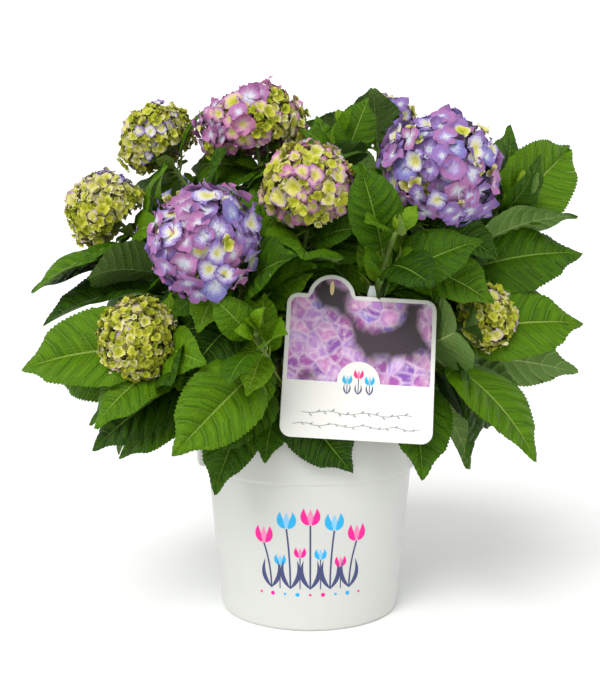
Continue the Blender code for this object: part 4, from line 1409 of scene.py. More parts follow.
class Head(NamedTuple):
    """A flower head: its florets' widths from youngest to ripest, the kinds of floret, which
    follow one another across the head along lean, its depth to its width, and how far it
    has sunk on its stem."""

    widths: tuple
    kinds: tuple
    lean: tuple = (0, 0, 0)
    depth: float = HEAD_DEPTH
    sunk: float = 0.0


class Kind(NamedTuple):
    """A kind of floret: tints from its heart to its rim, how far its sepals rise from flat,
    and its size among its neighbours."""

    tints: tuple
    rise: float = 0.1
    size: float = 1.0


KINDS = {
    "bud": Kind(("lime", "lime", "citron"), 0.90, 0.72),
    "unripe": Kind(("lime", "citron", "citron", "straw"), 0.62, 0.9),
    "turning": Kind(("lime", "citron", "straw", "cream"), 0.45),
    "blushing": Kind(("citron", "straw", "straw", "lilac"), 0.38, 1.05),
    "rosy_edge": Kind(("citron", "straw", "blush", "orchid"), 0.40),
    "pink": Kind(("straw", "blush", "pink", "pink"), 0.22, 1.1),
    "orchid": Kind(("ice", "lilac", "orchid", "orchid", "orchid"), 0.16, 1.1),
    "mauve": Kind(("ice", "lavender", "mauve", "orchid", "mauve"), 0.12, 1.1),
    "violet": Kind(("ice", "lavender", "violet", "mauve", "violet"), 0.12, 1.1),
    "blue": Kind(("ice", "sky", "bluebell", "bluebell", "violet"), 0.10, 1.1),
    "pale": Kind(("straw", "cream", "ice", "lavender", "violet"), 0.24, 1.05),
    "cream": Kind(("lime", "citron", "straw", "cream"), 0.50, 0.62),
}

HEADS = {
    "front_left": Head((0.022, 0.030), (
        "orchid", "mauve", "orchid", "mauve", "orchid", "violet", "mauve", "pale", "blue", "violet", "pale",
    ), (0.55, 0, -0.1)),
    "front_right": Head((0.021, 0.030), (
        "orchid", "violet", "blue", "mauve", "pale", "violet", "mauve", "blue", "orchid", "violet",
    )),
    "front_middle": Head((0.014, 0.021), (
        "rosy_edge", "unripe", "blushing", "rosy_edge", "unripe", "pink", "turning", "rosy_edge",
    )),
    "top_middle": Head((0.014, 0.026), (
        "orchid", "pink", "orchid", "pink", "rosy_edge", "bud", "unripe", "rosy_edge", "turning",
    ), (0.7, 0, -0.35), 0.70, 0.009),
    "top_left": Head((0.011, 0.018), (
        "blushing", "unripe", "bud", "turning", "unripe", "pale", "unripe", "turning",
    )),
    "left": Head((0.011, 0.018), (
        "bud", "unripe", "bud", "turning", "unripe", "blushing", "turning", "pale",
    ), (0.2, 0, 0.5)),
    "top_right": Head((0.014, 0.023), (
        "pale", "violet", "turning", "blue", "pale", "blue",
    ), (0, 0, 0), 0.78, 0.009),
    "low_left": Head((0.010, 0.015), (
        "bud", "unripe", "bud", "unripe", "turning", "bud", "blushing", "unripe",
    )),
    "low_right": Head((0.011, 0.018), (
        "bud", "unripe", "turning", "bud", "unripe", "blushing", "bud",
    )),
    "back_left": Head((0.020, 0.029), ("violet", "mauve", "blue", "pale", "violet")),
    "back_middle": Head((0.016, 0.025), ("turning", "pink", "orchid", "rosy_edge", "blushing")),
    "back_right": Head((0.020, 0.029), ("orchid", "mauve", "violet", "pale", "mauve")),
    "back_low": Head((0.011, 0.017), ("unripe", "bud", "turning", "blushing", "bud")),
}


BANDS = [f"{kind}_{step}" for kind in KINDS for step in range(BAND_STEPS)] + ["bead", "stalk"]


class SepalPattern:
    """One sepal on a grid, of length 1 along Y: columns across it, rows from its claw to its
    tip, and the band of tint of each face, palest down its middle."""

    def __init__(self, rows, columns):
        r = np.linspace(0, 1, rows + 1)[:, None]
        w = np.linspace(-1, 1, columns + 1)[None, :]
        width = np.interp(r, (0, 0.15, 0.4, 0.62, 0.8, 0.92, 1), (0.07, 0.22, 0.50, 0.60, 0.43, 0.20, 0.02))
        self.x = (width * w).ravel()
        self.y = (0.03 + 0.97 * r - 0.12 * w * w * np.sin(math.pi * r)).ravel()
        self.w = (w + 0 * r).ravel()
        self.r = (r + 0 * w).ravel()
        self.faces = grid_faces(rows + 1, columns + 1)
        along = ((np.arange(rows) + 0.5) / rows)[:, None]
        aside = np.abs((np.arange(columns) + 0.5) / columns * 2 - 1)[None, :]
        self.shade = (along + 0.30 * (aside - 0.45) * (along > 0.15)).ravel()


def add_floret(pile, pattern, place, axis, width, kind, chance):
    """Four overlapping sepals round a bead."""
    look = KINDS[kind]
    axis = axis.normalized()
    spin = Matrix.Rotation(chance.uniform(0, math.pi / 2), 3, axis)
    across = spin @ axis.orthogonal().normalized()
    open_heart = chance.uniform(-0.12, 0.12)
    share = np.clip(pattern.shade + open_heart, 0, 0.999)
    bands = BANDS.index(kind + "_0") + (share * BAND_STEPS).astype(int)
    for k in range(4):
        way = Matrix.Rotation(math.pi / 2 * k + chance.uniform(-0.16, 0.16), 3, axis) @ across
        side = axis.cross(way)
        size = width / 2 * chance.uniform(0.78, 1.12)
        rise = look.rise + chance.uniform(-0.30, 0.30)
        curl = chance.uniform(-0.34, 0.14) - 0.15 * look.rise
        fold = chance.uniform(-0.12, 0.26)
        roll = chance.uniform(-0.26, 0.26)
        ruffle = chance.uniform(0.04, 0.13) * np.sin(2.8 * pattern.w + chance.uniform(0, 6)) * pattern.r
        bend = curl * pattern.r ** 2 + (fold * np.abs(pattern.w) + roll * pattern.w) * pattern.r
        z = bend + ruffle + 0.04 * (k % 2) + 0.02
        y = pattern.y
        up, out = math.sin(rise), math.cos(rise)
        local = np.stack([pattern.x * 1.06, y * out - z * up, y * up + z * out], axis=1) * size
        pile.add(np.array(place) + local @ np.array([side, way, axis]), pattern.faces, bands)
    bead = width * BEAD_SHARE
    local = np.array([(1, 0, 0), (0, 1, 0), (-1, 0, 0), (0, -1, 0), (0, 0, 1.2)]) * bead
    points = np.array(place) + local @ np.array([across, axis.cross(across), axis])
    pile.add(points, fan(4, [0, 1, 2, 3, 0]), BANDS.index("bead"))


def head_florets(shoot, depth):
    """Where each floret of one layer of a head stands, which way it looks, how wide it is and
    its kind. Each takes the first free place, with room by its own width."""
    head = HEADS[shoot.name]
    chance = random.Random(f"{SEED} {shoot.name} florets {depth}")
    turn = UP.rotation_difference(facing(shoot)).to_matrix()
    flatten = Matrix.Diagonal((1, 1, head.depth))
    middle = Vector(shoot.head) - facing(shoot) * head.sunk
    drift = Vector([random.Random(f"{SEED} {shoot.name} tints").uniform(0, 50)] * 3)
    stands, widths = np.zeros((0, 3)), np.zeros(0)
    for _ in range(FLORET_DARTS):
        height = 1 - (1 - math.cos(CLUSTER_END)) * chance.random()
        unit = on_ball(height, chance.uniform(0, math.tau))
        way = turn @ (flatten @ unit).normalized()
        patch = noise.noise(unit * 1.9 + drift)
        spot_share = 0.5 + 0.8 * patch + 0.45 * way.dot(Vector(head.lean)) + chance.uniform(-0.12, 0.12)
        kind = head.kinds[int(min(max(spot_share, 0), 0.999) * len(head.kinds))]
        if chance.random() < YOUNG_SHARE:
            kind = "cream"
        ripeness = min(max(0.5 + noise.noise(unit * 2.3 - drift) + chance.uniform(-0.3, 0.3), 0), 1)
        width = (head.widths[0] + (head.widths[1] - head.widths[0]) * ripeness) * KINDS[kind].size
        lump = 1 + HEAD_LUMPS * noise.noise(unit * 2.1 + drift * 2)
        radius = shoot.bloom * depth * lump * chance.uniform(*FLORET_STANDS)
        place = middle + turn @ (flatten @ unit) * radius
        apart = np.linalg.norm(stands - np.array(place), axis=1)
        if np.any(apart < (widths + width) / 2 * FLORET_SPACING):
            continue
        stands, widths = np.vstack([stands, place]), np.append(widths, width)
        yield place, way + scatter(chance, -1, 1) * FLORET_TILT, width, kind, chance


def make_blossom(look):
    tints = petal_materials(look)
    wide, narrow, small = SepalPattern(6, 4), SepalPattern(4, 3), SepalPattern(3, 2)
    for piece, names in BLOSSOM_PIECES.items():
        pile = Pile()
        for shoot in (shoot for shoot in SHOOTS if shoot.name in names):
            foot = Vector(shoot.head) - facing(shoot) * shoot.bloom * STEM_IN_HEAD
            for place, axis, width, kind, chance in head_florets(shoot, 1.0):
                pattern = wide if width > 0.018 else narrow
                add_floret(pile, pattern, place, axis, width, kind, chance)
                add_pedicel(pile, foot, place, axis, chance)
            for place, axis, width, kind, chance in head_florets(shoot, INNER_LAYER):
                add_floret(pile, small, place, axis, width, kind, chance)
        made = pile.make(piece, tints)
        settle(made, "foliage", *("foliage_" + name for name in names))


def add_pedicel(pile, foot, place, axis, chance):
    """The thin stalk from the end of the stem to a floret's back."""
    fork = foot.lerp(place, chance.uniform(0.25, 0.45)) + axis.normalized() * 0.001
    points, faces = tube_mesh([foot, fork, place], (0.0009, 0.0006, 0.0005), 3)
    pile.add(points, faces, BANDS.index("stalk"))


# Container, soil and label

def grip_bulge(angle, z):
    """How far the collar's two grips stand out."""
    aside = np.abs(np.mod(angle + math.pi / 2, math.pi) - math.pi / 2)
    around = smooth((LUG_ARC / 2 - aside) / math.radians(5))
    above = smooth((z - LUG_LOW + 0.0015) / 0.004)
    return LUG_REACH * around * above * (1 - 0.08 * smooth((z - POT_HEIGHT + 0.002) / 0.002))


def pot_profile():
    """Radius and height down the outside from the rim, under the foot, and up the inside.
    The third number says how far the grips bulge there."""
    lip = RIM_ROUND
    turns = [math.pi / 2 * i / 4 for i in range(5)]
    rim = [(RIM_RADIUS - lip + lip * math.sin(t), POT_HEIGHT - lip + lip * math.cos(t), 1) for t in turns]
    collar = [(wall_radius(z), z, 1) for z in np.linspace(POT_HEIGHT - lip - 0.002, STEP_HEIGHT + 0.003, 22)]
    step = [
        (STEP_RADIUS + STEP_OUT, STEP_HEIGHT + STEP_OUT * 0.8, 0),
        (STEP_RADIUS + STEP_OUT * 0.4, STEP_HEIGHT, 0),
        (STEP_RADIUS - 0.0006, STEP_HEIGHT - 0.0012, 0),
        (wall_radius(STEP_HEIGHT - 0.003), STEP_HEIGHT - 0.003, 0),
    ]
    wall = [(wall_radius(z), z, 0) for z in np.linspace(STEP_HEIGHT - 0.006, FOOT_ROUND * 1.6, 12)]
    foot = [(FOOT_RADIUS - FOOT_ROUND * (1 - math.cos(t)), FOOT_ROUND * (1 - math.sin(t)), 0) for t in turns]
    under = [
        (FOOT_RADIUS - FOOT_ROUND - 0.003, 0.0, 0),
        (FOOT_RADIUS - FOOT_ROUND - 0.005, UNDER_RISE, 0),
        (0.03, UNDER_RISE, 0),
        (POT_CENTRE, UNDER_RISE, 0),
    ]
    inside = [
        (POT_CENTRE, FLOOR, 0),
        (inner_radius(FLOOR) - 0.004, FLOOR, 0),
        (inner_radius(FLOOR + 0.004), FLOOR + 0.004, 0),
        *((inner_radius(z), z, 0) for z in np.linspace(0.03, POT_HEIGHT - 0.002, 8)),
        (RIM_RADIUS - WALL + lip * 0.3, POT_HEIGHT - 0.0004, 0.5),
    ]
    return np.array(rim + collar + step + wall + foot + under + inside)


def make_pot(look):
    profile = pot_profile()
    angles = math.tau * np.arange(look.sides) / look.sides
    radius, z, bulge = (profile[:, k][:, None] for k in range(3))
    across = radius + bulge * grip_bulge(angles[None, :], z)
    points = np.stack([across * np.cos(angles), across * np.sin(angles), z + 0 * across], axis=2)
    points = points.reshape(-1, 3)
    faces = grid_faces(len(profile) + 1, look.sides, closed=True) % len(points)
    pile = Pile()
    pile.add(points, faces[:, ::-1], 0)
    made = pile.make("container", [pot_material(look)])
    made.data.set_sharp_from_angle(angle=math.radians(40))
    return settle(made, "pot_plastic", "pot")


def make_soil(look):
    """Fibrous peat with crumbs, heaped a little round the trunk."""
    rings, sides = SOIL_RINGS, SOIL_SIDES
    edge = inner_radius(SOIL_TOP) - GAP
    radii = np.linspace(0.0, 1.0, rings) ** 0.9 * edge
    angles = math.tau * np.arange(sides) / sides
    points = []
    for radius in radii:
        for angle in angles:
            place = Vector((radius * math.cos(angle), radius * math.sin(angle), 0))
            rough = noise.fractal(place * 130, 0.6, 2.2, 5) * look.roughness
            heap = SOIL_HEAP * math.exp(-((radius / 0.03) ** 2))
            drop = SOIL_HEAP * smooth((radius - edge + SOIL_EDGE) / SOIL_EDGE)
            points.append((place.x, place.y, SOIL_TOP - 0.002 + rough + heap - drop))
    low = [(radii[-1] * math.cos(a), radii[-1] * math.sin(a), SOIL_TOP - 0.02) for a in angles]
    pile = Pile()
    pile.add(points + low, grid_faces(rings + 1, sides, closed=True), 0)
    chance = random.Random(f"{SEED} crumbs")
    for _ in range(look.crumbs):
        radius, angle = edge * 0.97 * math.sqrt(chance.random()), chance.uniform(0, math.tau)
        size = chance.uniform(0.0010, 0.0034)
        place = Vector((radius * math.cos(angle), radius * math.sin(angle), SOIL_TOP - 0.001))
        pile.add(*crumb(place, size, chance), int(chance.random() < look.perlite_share))
    materials = [peat_material("peat", look.peat, 1.0), peat_material("perlite", look.perlite, 0.3)]
    return settle(pile.make("potting_soil", materials), "potting_soil", "soil")


def crumb(place, size, chance):
    """An uneven lump."""
    ball = bmesh.new()
    bmesh.ops.create_icosphere(ball, subdivisions=1, radius=size)
    squash = scatter(chance, 0.6, 1.3)
    points = [place + v.co * squash * chance.uniform(0.75, 1.2) for v in ball.verts]
    faces = [[v.index for v in face.verts] + [-1] for face in ball.faces]
    ball.free()
    return [tuple(p) for p in points], faces


def ribbon(route, widths):
    """A flat strip along a route of 2D points, as three columns of points and its faces."""
    route = np.asarray(route, float)
    along = np.gradient(route, axis=0)
    along /= np.linalg.norm(along, axis=1)[:, None] + 1e-12
    aside = np.stack([along[:, 1], -along[:, 0]], axis=1) * np.asarray(widths)[:, None] / 2
    points = np.stack([route - aside, route, route + aside], axis=1).reshape(-1, 2)
    return points, grid_faces(len(route), 3)[:, ::-1]


def petal_strip(foot, tip, width, bow=0.0, steps=11):
    """A pointed oval from foot to tip, bowed to one side."""
    foot, tip = np.asarray(foot, float), np.asarray(tip, float)
    t = np.linspace(0, 1, steps)[:, None]
    reach = tip - foot
    aside = np.array([reach[1], -reach[0]])
    route = foot + reach * t + aside * bow * np.sin(math.pi * t)
    return ribbon(route, width * np.sin(math.pi * t[:, 0] ** 0.8) + 1e-5)


def dot(middle, radius):
    points = np.concatenate([circle(12) * radius + np.asarray(middle), [middle]])
    return points, fan(12, np.arange(13) % 12)


def tulip(x, foot, top, size, ink, sway=0.0, leaf=0.0):
    """A tulip on a stalk, with two leaves where leaf isn't 0, as (shape, ink) pairs. Its head
    is size tall."""
    neck = (x + sway, top - size)
    t = np.linspace(0, 1, 13)
    stalk_line = np.stack([x + sway * t * t, foot + (neck[1] - foot) * t], axis=1)
    shapes = [(ribbon(stalk_line, np.full(13, size * 0.10)), "navy")]
    for side in (-1, 1) if leaf else ():
        tip = (x + side * leaf * 0.22, foot + leaf)
        shapes.append((petal_strip((x, foot), tip, leaf * 0.15, side * 0.16), "navy"))
    for side in (-1, 1):
        base = (neck[0] + side * size * 0.09, neck[1])
        tip = (neck[0] + side * size * 0.36, top)
        shapes.append((petal_strip(base, tip, size * 0.40, side * 0.14), ink))
    shapes.append((petal_strip(neck, (neck[0], top - size * 0.04), size * 0.34), ink + "_light"))
    return shapes


def tulip_bed(width, foot, height):
    """Tulips of alternating colour in a fan, with low ones between them and dots below."""
    shapes = []
    for i, tall in enumerate((0.76, 0.95, 1.0, 0.93, 0.78)):
        aside = i / 4 - 0.5
        x, top, sway = aside * width * 0.78, foot + height * tall, aside * width * 0.16
        shapes += tulip(x, foot, top, height * 0.21, ("pink", "cyan")[i % 2], sway, height * 0.36)
    for i, tall in enumerate((0.42, 0.52, 0.50, 0.40)):
        x = width * ((i + 0.5) / 4 - 0.5) * 0.80
        shapes += tulip(x, foot, foot + height * tall, height * 0.13, ("cyan", "pink")[i % 2])
    for i in range(9):
        x = width * (i / 8 - 0.5)
        ink = ("pink", "cyan")[(i // 2) % 2]
        shapes.append((dot((x, foot - height * 0.07), height * (0.016, 0.026)[i % 2]), ink))
    return shapes


def inked(shapes, place, inks):
    """A pile of flat printed shapes, laid onto a surface by place."""
    pile = Pile()
    for (points, faces), ink in shapes:
        pile.add(place(points), faces, inks.index(ink))
    return pile


INKS = ["pink", "pink_light", "cyan", "cyan_light", "navy"]


def ink_materials(look):
    colours = {"pink": look.pink, "cyan": look.cyan, "navy": look.navy}
    for name in ("pink", "cyan"):
        colours[name + "_light"] = [c + (1 - c) * 0.22 for c in colours[name]]
    return [ink_material("ink_" + name, colours[name]) for name in INKS]


def make_print(look):
    """The coloured print round the front of the container."""
    def wrapped(points):
        radius = np.array([wall_radius(z) for z in points[:, 1]]) + look.ink_proud
        angle = -math.pi / 2 + points[:, 0] / radius
        return np.stack([radius * np.cos(angle), radius * np.sin(angle), points[:, 1]], axis=1)

    shapes = tulip_bed(look.print_width, look.print_foot, look.print_height)
    made = inked(shapes, wrapped, INKS).make("container_print", ink_materials(look))
    return settle(made, "pot_plastic")


def on_card(points, depth):
    """Lays 2D points in the card's own plane onto its front."""
    flat = np.column_stack([points, np.full(len(points), CARD_THICKNESS / 2 + depth)])
    return carried(flat, card_matrix())


def printed_patch(name, ring, depth, material):
    """A flat print on the card, inside an outline in the card's plane."""
    mesh = bpy.data.meshes.new(name)
    mesh.from_pydata([tuple(p) for p in on_card(ring, depth)], [], [list(range(len(ring)))])
    mesh.materials.append(material)
    settle(linked(name, mesh), "label_plastic")
    return mesh


def inset(points, distance):
    """A closed counterclockwise outline moved inwards."""
    points = np.asarray(points, float)
    step = np.roll(points, -1, axis=0) - np.roll(points, 1, axis=0)
    inward = np.stack([-step[:, 1], step[:, 0]], axis=1)
    return points + inward / np.linalg.norm(inward, axis=1)[:, None] * distance


def make_card(look):
    """The card itself, its edges a little rounded."""
    outline = card_outline(13, 41)
    half, round_off = CARD_THICKNESS / 2, CARD_THICKNESS * 0.3
    rings = []
    for deep, z in ((round_off, -half), (0, -half + round_off), (0, half - round_off), (round_off, half)):
        ring = inset(outline, deep) if deep else outline
        rings.append(np.column_stack([ring, np.full(len(ring), z)]))
    points = carried(np.concatenate(rings), card_matrix())
    count = len(outline)
    faces = grid_faces(len(rings), count, closed=True).tolist()
    faces += [list(range(count))[::-1], [3 * count + k for k in range(count)]]
    mesh = bpy.data.meshes.new("label_card_plate")
    mesh.from_pydata([tuple(p) for p in points], [], faces)
    mesh.materials.append(card_material(look))
    mesh.shade_smooth()
    mesh.set_sharp_from_angle(angle=math.radians(35))
    return settle(linked("label_card_plate", mesh), "label_plastic", "label_card")


def make_picture(look):
    """The printed picture of soft blossom, with a white disc over its lower edge, on which make_label_print
    prints tulips.
    """
    outline = inset(card_outline(13, 41), look.border)
    floor = look.picture_foot
    upper = outline[outline[:, 1] > floor]
    start = int(np.argmax(np.hypot(*(upper - np.roll(upper, 1, axis=0)).T)))
    upper = np.roll(upper, -start, axis=0)
    side = CARD_WIDTH / 2 - look.border
    ring = np.concatenate([[(side, floor)], upper, [(-side, floor)]])
    mesh = printed_patch("label_picture", ring, look.ink_proud, picture_material(look))
    layer = mesh.uv_layers.new(name="picture")
    for loop in mesh.loops:
        layer.data[loop.index].uv = ring[loop.vertex_index] / CARD_WIDTH
    disc = circle(48) * look.disc_radius + (0, floor)
    printed_patch("label_disc", disc, look.ink_proud * 2, card_material(look))


def make_label_print(look):
    """A small bed of tulips on the disc, a grey sprig below it, and the cream hanger slot."""
    size = look.disc_radius
    shapes = []
    for i in range(3):
        x = (i - 1) * size * 0.52
        top = look.picture_foot + size * (0.34, 0.62, 0.34)[i]
        foot = look.picture_foot - size * 0.55
        shapes += tulip(x, foot, top, size * 0.42, ("cyan", "pink", "cyan")[i], leaf=size * 0.5)
    t = np.linspace(-1, 1, 61)
    for row, (wide, low) in enumerate(((0.052, -0.0445), (0.060, -0.0565))):
        line = np.stack([t * wide, low + 0.0012 * np.sin(t * (9 + 4 * row))], axis=1)
        shapes.append((ribbon(line, np.full(61, 0.0005)), "grey"))
        for k in range(4, 57, 4):
            side = (-1) ** (k // 4)
            tip = line[k] + (0.0032, side * 0.0030 / (1 + row * 0.4))
            shapes.append((petal_strip(line[k], tip, 0.0013 - 0.0003 * row, 0.1, 7), "grey"))
    inks = [*INKS, "grey", "slot"]
    slot_height = CARD_HEIGHT / 2 + ARCH_RISE * 0.32 + 0.0068 * np.linspace(-1, 1, 9)
    slot_line = np.stack([np.full(9, ARCH_ASIDE), slot_height], axis=1)
    shapes.append((ribbon(slot_line, 0.0042 * np.sqrt(1 - np.linspace(-0.94, 0.94, 9) ** 2)), "slot"))
    materials = ink_materials(look)
    materials += [ink_material("ink_grey", look.grey), ink_material("hanger_slot", look.slot)]
    pile = inked(shapes, lambda points: on_card(points, look.ink_proud * 3), inks)
    return settle(pile.make("label_print", materials), "label_plastic")


def make_stake(look):
    """The clear stake: a flat blade with a raised rib down its middle and a blunt tip."""
    rising = (STAKE_TOP - STAKE_FOOT).normalized()
    across = (Vector((1, 0, 0)) - rising * rising.x).normalized()
    front = across.cross(rising)
    length = (STAKE_TOP - STAKE_FOOT).length
    thick = STAKE_THICKNESS / 2
    low, high, rib = -thick * 0.6, thick * 0.6, thick * 0.9 * 0.4
    points = []
    for share in np.linspace(0, 1, STAKE_RINGS):
        tip = 1 - smooth((share - STAKE_TIP) / (1 - STAKE_TIP)) * 0.5
        wide = STAKE_WIDTH / 2 * (0.4 + 0.6 * min(1, share * 1.4)) * tip
        ring = [(-wide, low), (0, -thick), (wide, low), (wide, high)]
        ring += [(wide * 0.25, high), (0, high + rib), (-wide * 0.25, high), (-wide, high)]
        points += [tuple(STAKE_FOOT + rising * length * share + across * x + front * y) for x, y in ring]
    points += [tuple(STAKE_FOOT), tuple(STAKE_TOP)]
    pile = Pile()
    pile.add(points, tube_faces(STAKE_RINGS, len(ring)), 0)
    made = pile.make("label_stake_blade", [stake_material(look)])
    made.data.set_sharp_from_angle(angle=math.radians(30))
    return settle(made, "stake_plastic", "label_stake")


# Materials

class Value:
    """A socket in a material, so that shader maths reads as sums and products."""

    def __init__(self, shade, socket):
        self.shade = shade
        self.socket = socket

    def math(self, operation, first, second):
        return self.shade.node("ShaderNodeMath", {"operation": operation}, {0: first, 1: second})

    def __add__(self, other):
        return self.math("ADD", self, other)

    def __sub__(self, other):
        return self.math("SUBTRACT", self, other)

    def __rsub__(self, other):
        return self.math("SUBTRACT", other, self)

    def __mul__(self, other):
        return self.math("MULTIPLY", self, other)

    def __pow__(self, other):
        return self.math("POWER", self, other)

    __radd__ = __add__
    __rmul__ = __mul__


class Shade:
    """One material with its Principled surface."""

    def __init__(self, name, colour, **constants):
        self.material = bpy.data.materials.new(name)
        self.material.use_nodes = True
        self.tree = self.material.node_tree
        self.surface = self.tree.nodes["Principled BSDF"]
        self.surface.inputs["Base Color"].default_value = (*colour, 1)
        for socket, value in constants.items():
            self.surface.inputs[socket.replace("_", " ").title().replace("Ior", "IOR")].default_value = value

    def node(self, kind, settings=None, sockets=None, output=0):
        """A node, its settings first and then the values or links of its sockets."""
        made = self.tree.nodes.new(kind)
        for key, value in (settings or {}).items():
            if key == "stops":
                self.set_stops(made.color_ramp, value)
            else:
                setattr(made, key, value)
        for key, value in (sockets or {}).items():
            self.feed(made.inputs[key], value)
        return Value(self, made.outputs[output])

    @staticmethod
    def set_stops(ramp, stops):
        while len(ramp.elements) < len(stops):
            ramp.elements.new(0.5)
        for element, (place, colour) in zip(ramp.elements, stops):
            element.position = place
            element.color = (*colour, 1)

    def feed(self, socket, value):
        if isinstance(value, Value):
            self.tree.links.new(value.socket, socket)
        else:
            socket.default_value = value

    def place(self):
        return self.node("ShaderNodeTexCoord", output="Object")

    def grain(self, scale, detail=3.0, rough=0.5, where=None):
        sockets = {"Vector": where or self.place(), "Scale": scale, "Detail": detail, "Roughness": rough}
        return self.node("ShaderNodeTexNoise", sockets=sockets)

    def mix(self, share, first, second):
        """Two colours blended by a share."""
        made = self.node("ShaderNodeMix", {"data_type": "RGBA"}, {0: share}, output=2)
        node = made.socket.node
        for socket, colour in ((node.inputs[6], first), (node.inputs[7], second)):
            self.feed(socket, colour if isinstance(colour, Value) else (*colour, 1))
        return made

    def paint(self, socket, value):
        self.feed(self.surface.inputs[socket], value)

    def emboss(self, height, strength, distance):
        sockets = {"Height": height, "Strength": strength, "Distance": distance}
        self.paint("Normal", self.node("ShaderNodeBump", sockets=sockets))


def colours_between(stops, count):
    """Colours at even steps along a row of colours."""
    places = np.linspace(0, len(stops) - 1, count)
    parts = [np.interp(places, range(len(stops)), [stop[k] for stop in stops]) for k in range(3)]
    return list(zip(*parts))


def grained(name, colour, grain, gloss, relief, flecks=None, **constants):
    """A finish whose roughness, relief and flecks of a second colour all follow one grain.
    grain is its scale, detail and roughness. flecks is a power, a strength and the two colours."""
    shade = Shade(name, colour, **constants)
    fine = shade.grain(*grain)
    if flecks:
        shade.paint("Base Color", shade.mix(fine ** flecks[0] * flecks[1], *flecks[2:]))
    shade.paint("Roughness", fine * gloss[1] + gloss[0])
    shade.emboss(fine, *relief)
    return shade.material


def leaf_material(name, colour, gloss):
    """A leathery blade, puckered between the small veins."""
    shade = Shade(name, colour, specular_ior_level=0.10)
    where = shade.place()
    cells = {"Vector": where, "Scale": 300.0}
    net = shade.node("ShaderNodeTexVoronoi", {"feature": "DISTANCE_TO_EDGE"}, cells)
    fine = shade.grain(900.0, 3.0, 0.6, where)
    shade.emboss(net * 1.6 + fine * 0.35, 0.7, 0.0012)
    shade.paint("Roughness", shade.grain(60.0, 2.0, 0.5, where) * 0.22 + gloss)
    return shade.material


def leaf_materials(look):
    """Blade tones from deep to young, the side veins', the midribs', then two undersides,
    each followed by its ribs."""
    blades = colours_between([look.deep, look.middle, look.fresh, look.young], TONES)
    ribs = colours_between([look.rib_old, look.rib_young], VEIN_TONES)
    greens = colours_between([look.deep, look.middle, look.fresh, look.young], VEIN_TONES)
    made = [leaf_material(f"blade_{i}", colour, look.gloss) for i, colour in enumerate(blades)]
    for i, (green, rib) in enumerate(zip(greens, ribs)):
        made.append(leaf_material(f"side_vein_{i}", colours_between([green, rib], 5)[2], look.gloss))
    made += [leaf_material(f"midrib_{i}", colour, look.gloss) for i, colour in enumerate(ribs)]
    for age, under in (("old", look.under_old), ("young", look.under_young)):
        made.append(leaf_material("underside_" + age, tuple(under), 0.55))
        made.append(leaf_material("under_rib_" + age, colours_between([under, look.under_rib], 4)[2], 0.55))
    return made


def petal_material(name, colour):
    """Soft sepal tissue, finely ribbed and a little velvety."""
    shade = Shade("petal_" + name, colour, specular_ior_level=0.12, sheen_weight=0.1)
    where = shade.place()
    ribs = shade.grain(900.0, 2.0, 0.5, where)
    shade.emboss(ribs, 0.3, 0.0003)
    shade.paint("Roughness", shade.grain(200.0, 2.0, 0.5, where) * 0.2 + 0.5)
    return shade.material


def petal_materials(look):
    """The bands of tint of every kind of floret, then the bead and the stalk, as in BANDS."""
    made = []
    for kind in KINDS:
        stops = [tuple(getattr(look, tint_name)) for tint_name in KINDS[kind].tints]
        made += colours_between(stops, BAND_STEPS)
    made += [tuple(look.bead), tuple(look.stalk)]
    return [petal_material(name, colour) for name, colour in zip(BANDS, made)]


def woody_material(look):
    flecks = (2, 1.6, look.woody, look.woody_dark)
    return grained("woody_cane", look.woody, (500.0, 4.0, 0.6), (0.55, 0.3), (0.6, 0.0008), flecks)


def green_stem_material(look):
    flecks = (5, 6, look.stem, look.specks)
    grain = (1100.0, 2.0, 0.5)
    return grained("green_stem", look.stem, grain, (0.4, 0.2), (0.3, 0.0004), flecks, specular_ior_level=0.4)


def trunk_material(look):
    shade = Shade("trunk_bark", look.bark)
    where = shade.place()
    stretched = shade.node("ShaderNodeVectorMath", {"operation": "MULTIPLY"}, {0: where, 1: (1, 1, 0.25)})
    fissures = shade.grain(520.0, 6.0, 0.62, stretched)
    patches = shade.grain(90.0, 3.0, 0.5, where)
    colour = shade.mix(fissures ** 1.6 * 1.4, look.bark_dark, look.bark)
    shade.paint("Base Color", shade.mix(patches ** 3 * 2, colour, look.bark_grey))
    shade.paint("Roughness", fissures * 0.2 + 0.72)
    shade.emboss(fissures, 0.8, 0.0015)
    return shade.material


def pot_material(look):
    """Satin moulded plastic with faint scuffs and a slight unevenness of wall."""
    shade = Shade("pale_plastic", look.plastic, specular_ior_level=0.5)
    where = shade.place()
    cloud = shade.grain(16.0, 3.0, 0.5, where)
    scuffs = shade.grain(300.0, 5.0, 0.7, where)
    dust = [c * 0.93 for c in look.plastic]
    shade.paint("Base Color", shade.mix(cloud ** 2, tuple(look.plastic), tuple(dust)))
    shade.paint("Roughness", scuffs * 0.10 + cloud * 0.10 + 0.26)
    shade.emboss(cloud * 1.0 + scuffs * 0.05, 0.12, 0.002)
    return shade.material


def peat_material(name, colour, depth):
    dark = tuple(c * 0.35 for c in colour)
    flecks = (1.5, 1.5, dark, tuple(colour))
    return grained(name, colour, (700.0, 6.0, 0.7), (0.75, 0.2), (0.9, 0.002 * depth), flecks)


def ink_material(name, colour):
    return grained(name, colour, (900.0, 2.0), (0.28, 0.12), (0.1, 0.0002), specular_ior_level=0.45)


def card_material(look):
    relief = (0.12, 0.0003)
    return grained("printed_card", look.card, (800.0, 3.0), (0.34, 0.10), relief, specular_ior_level=0.45)


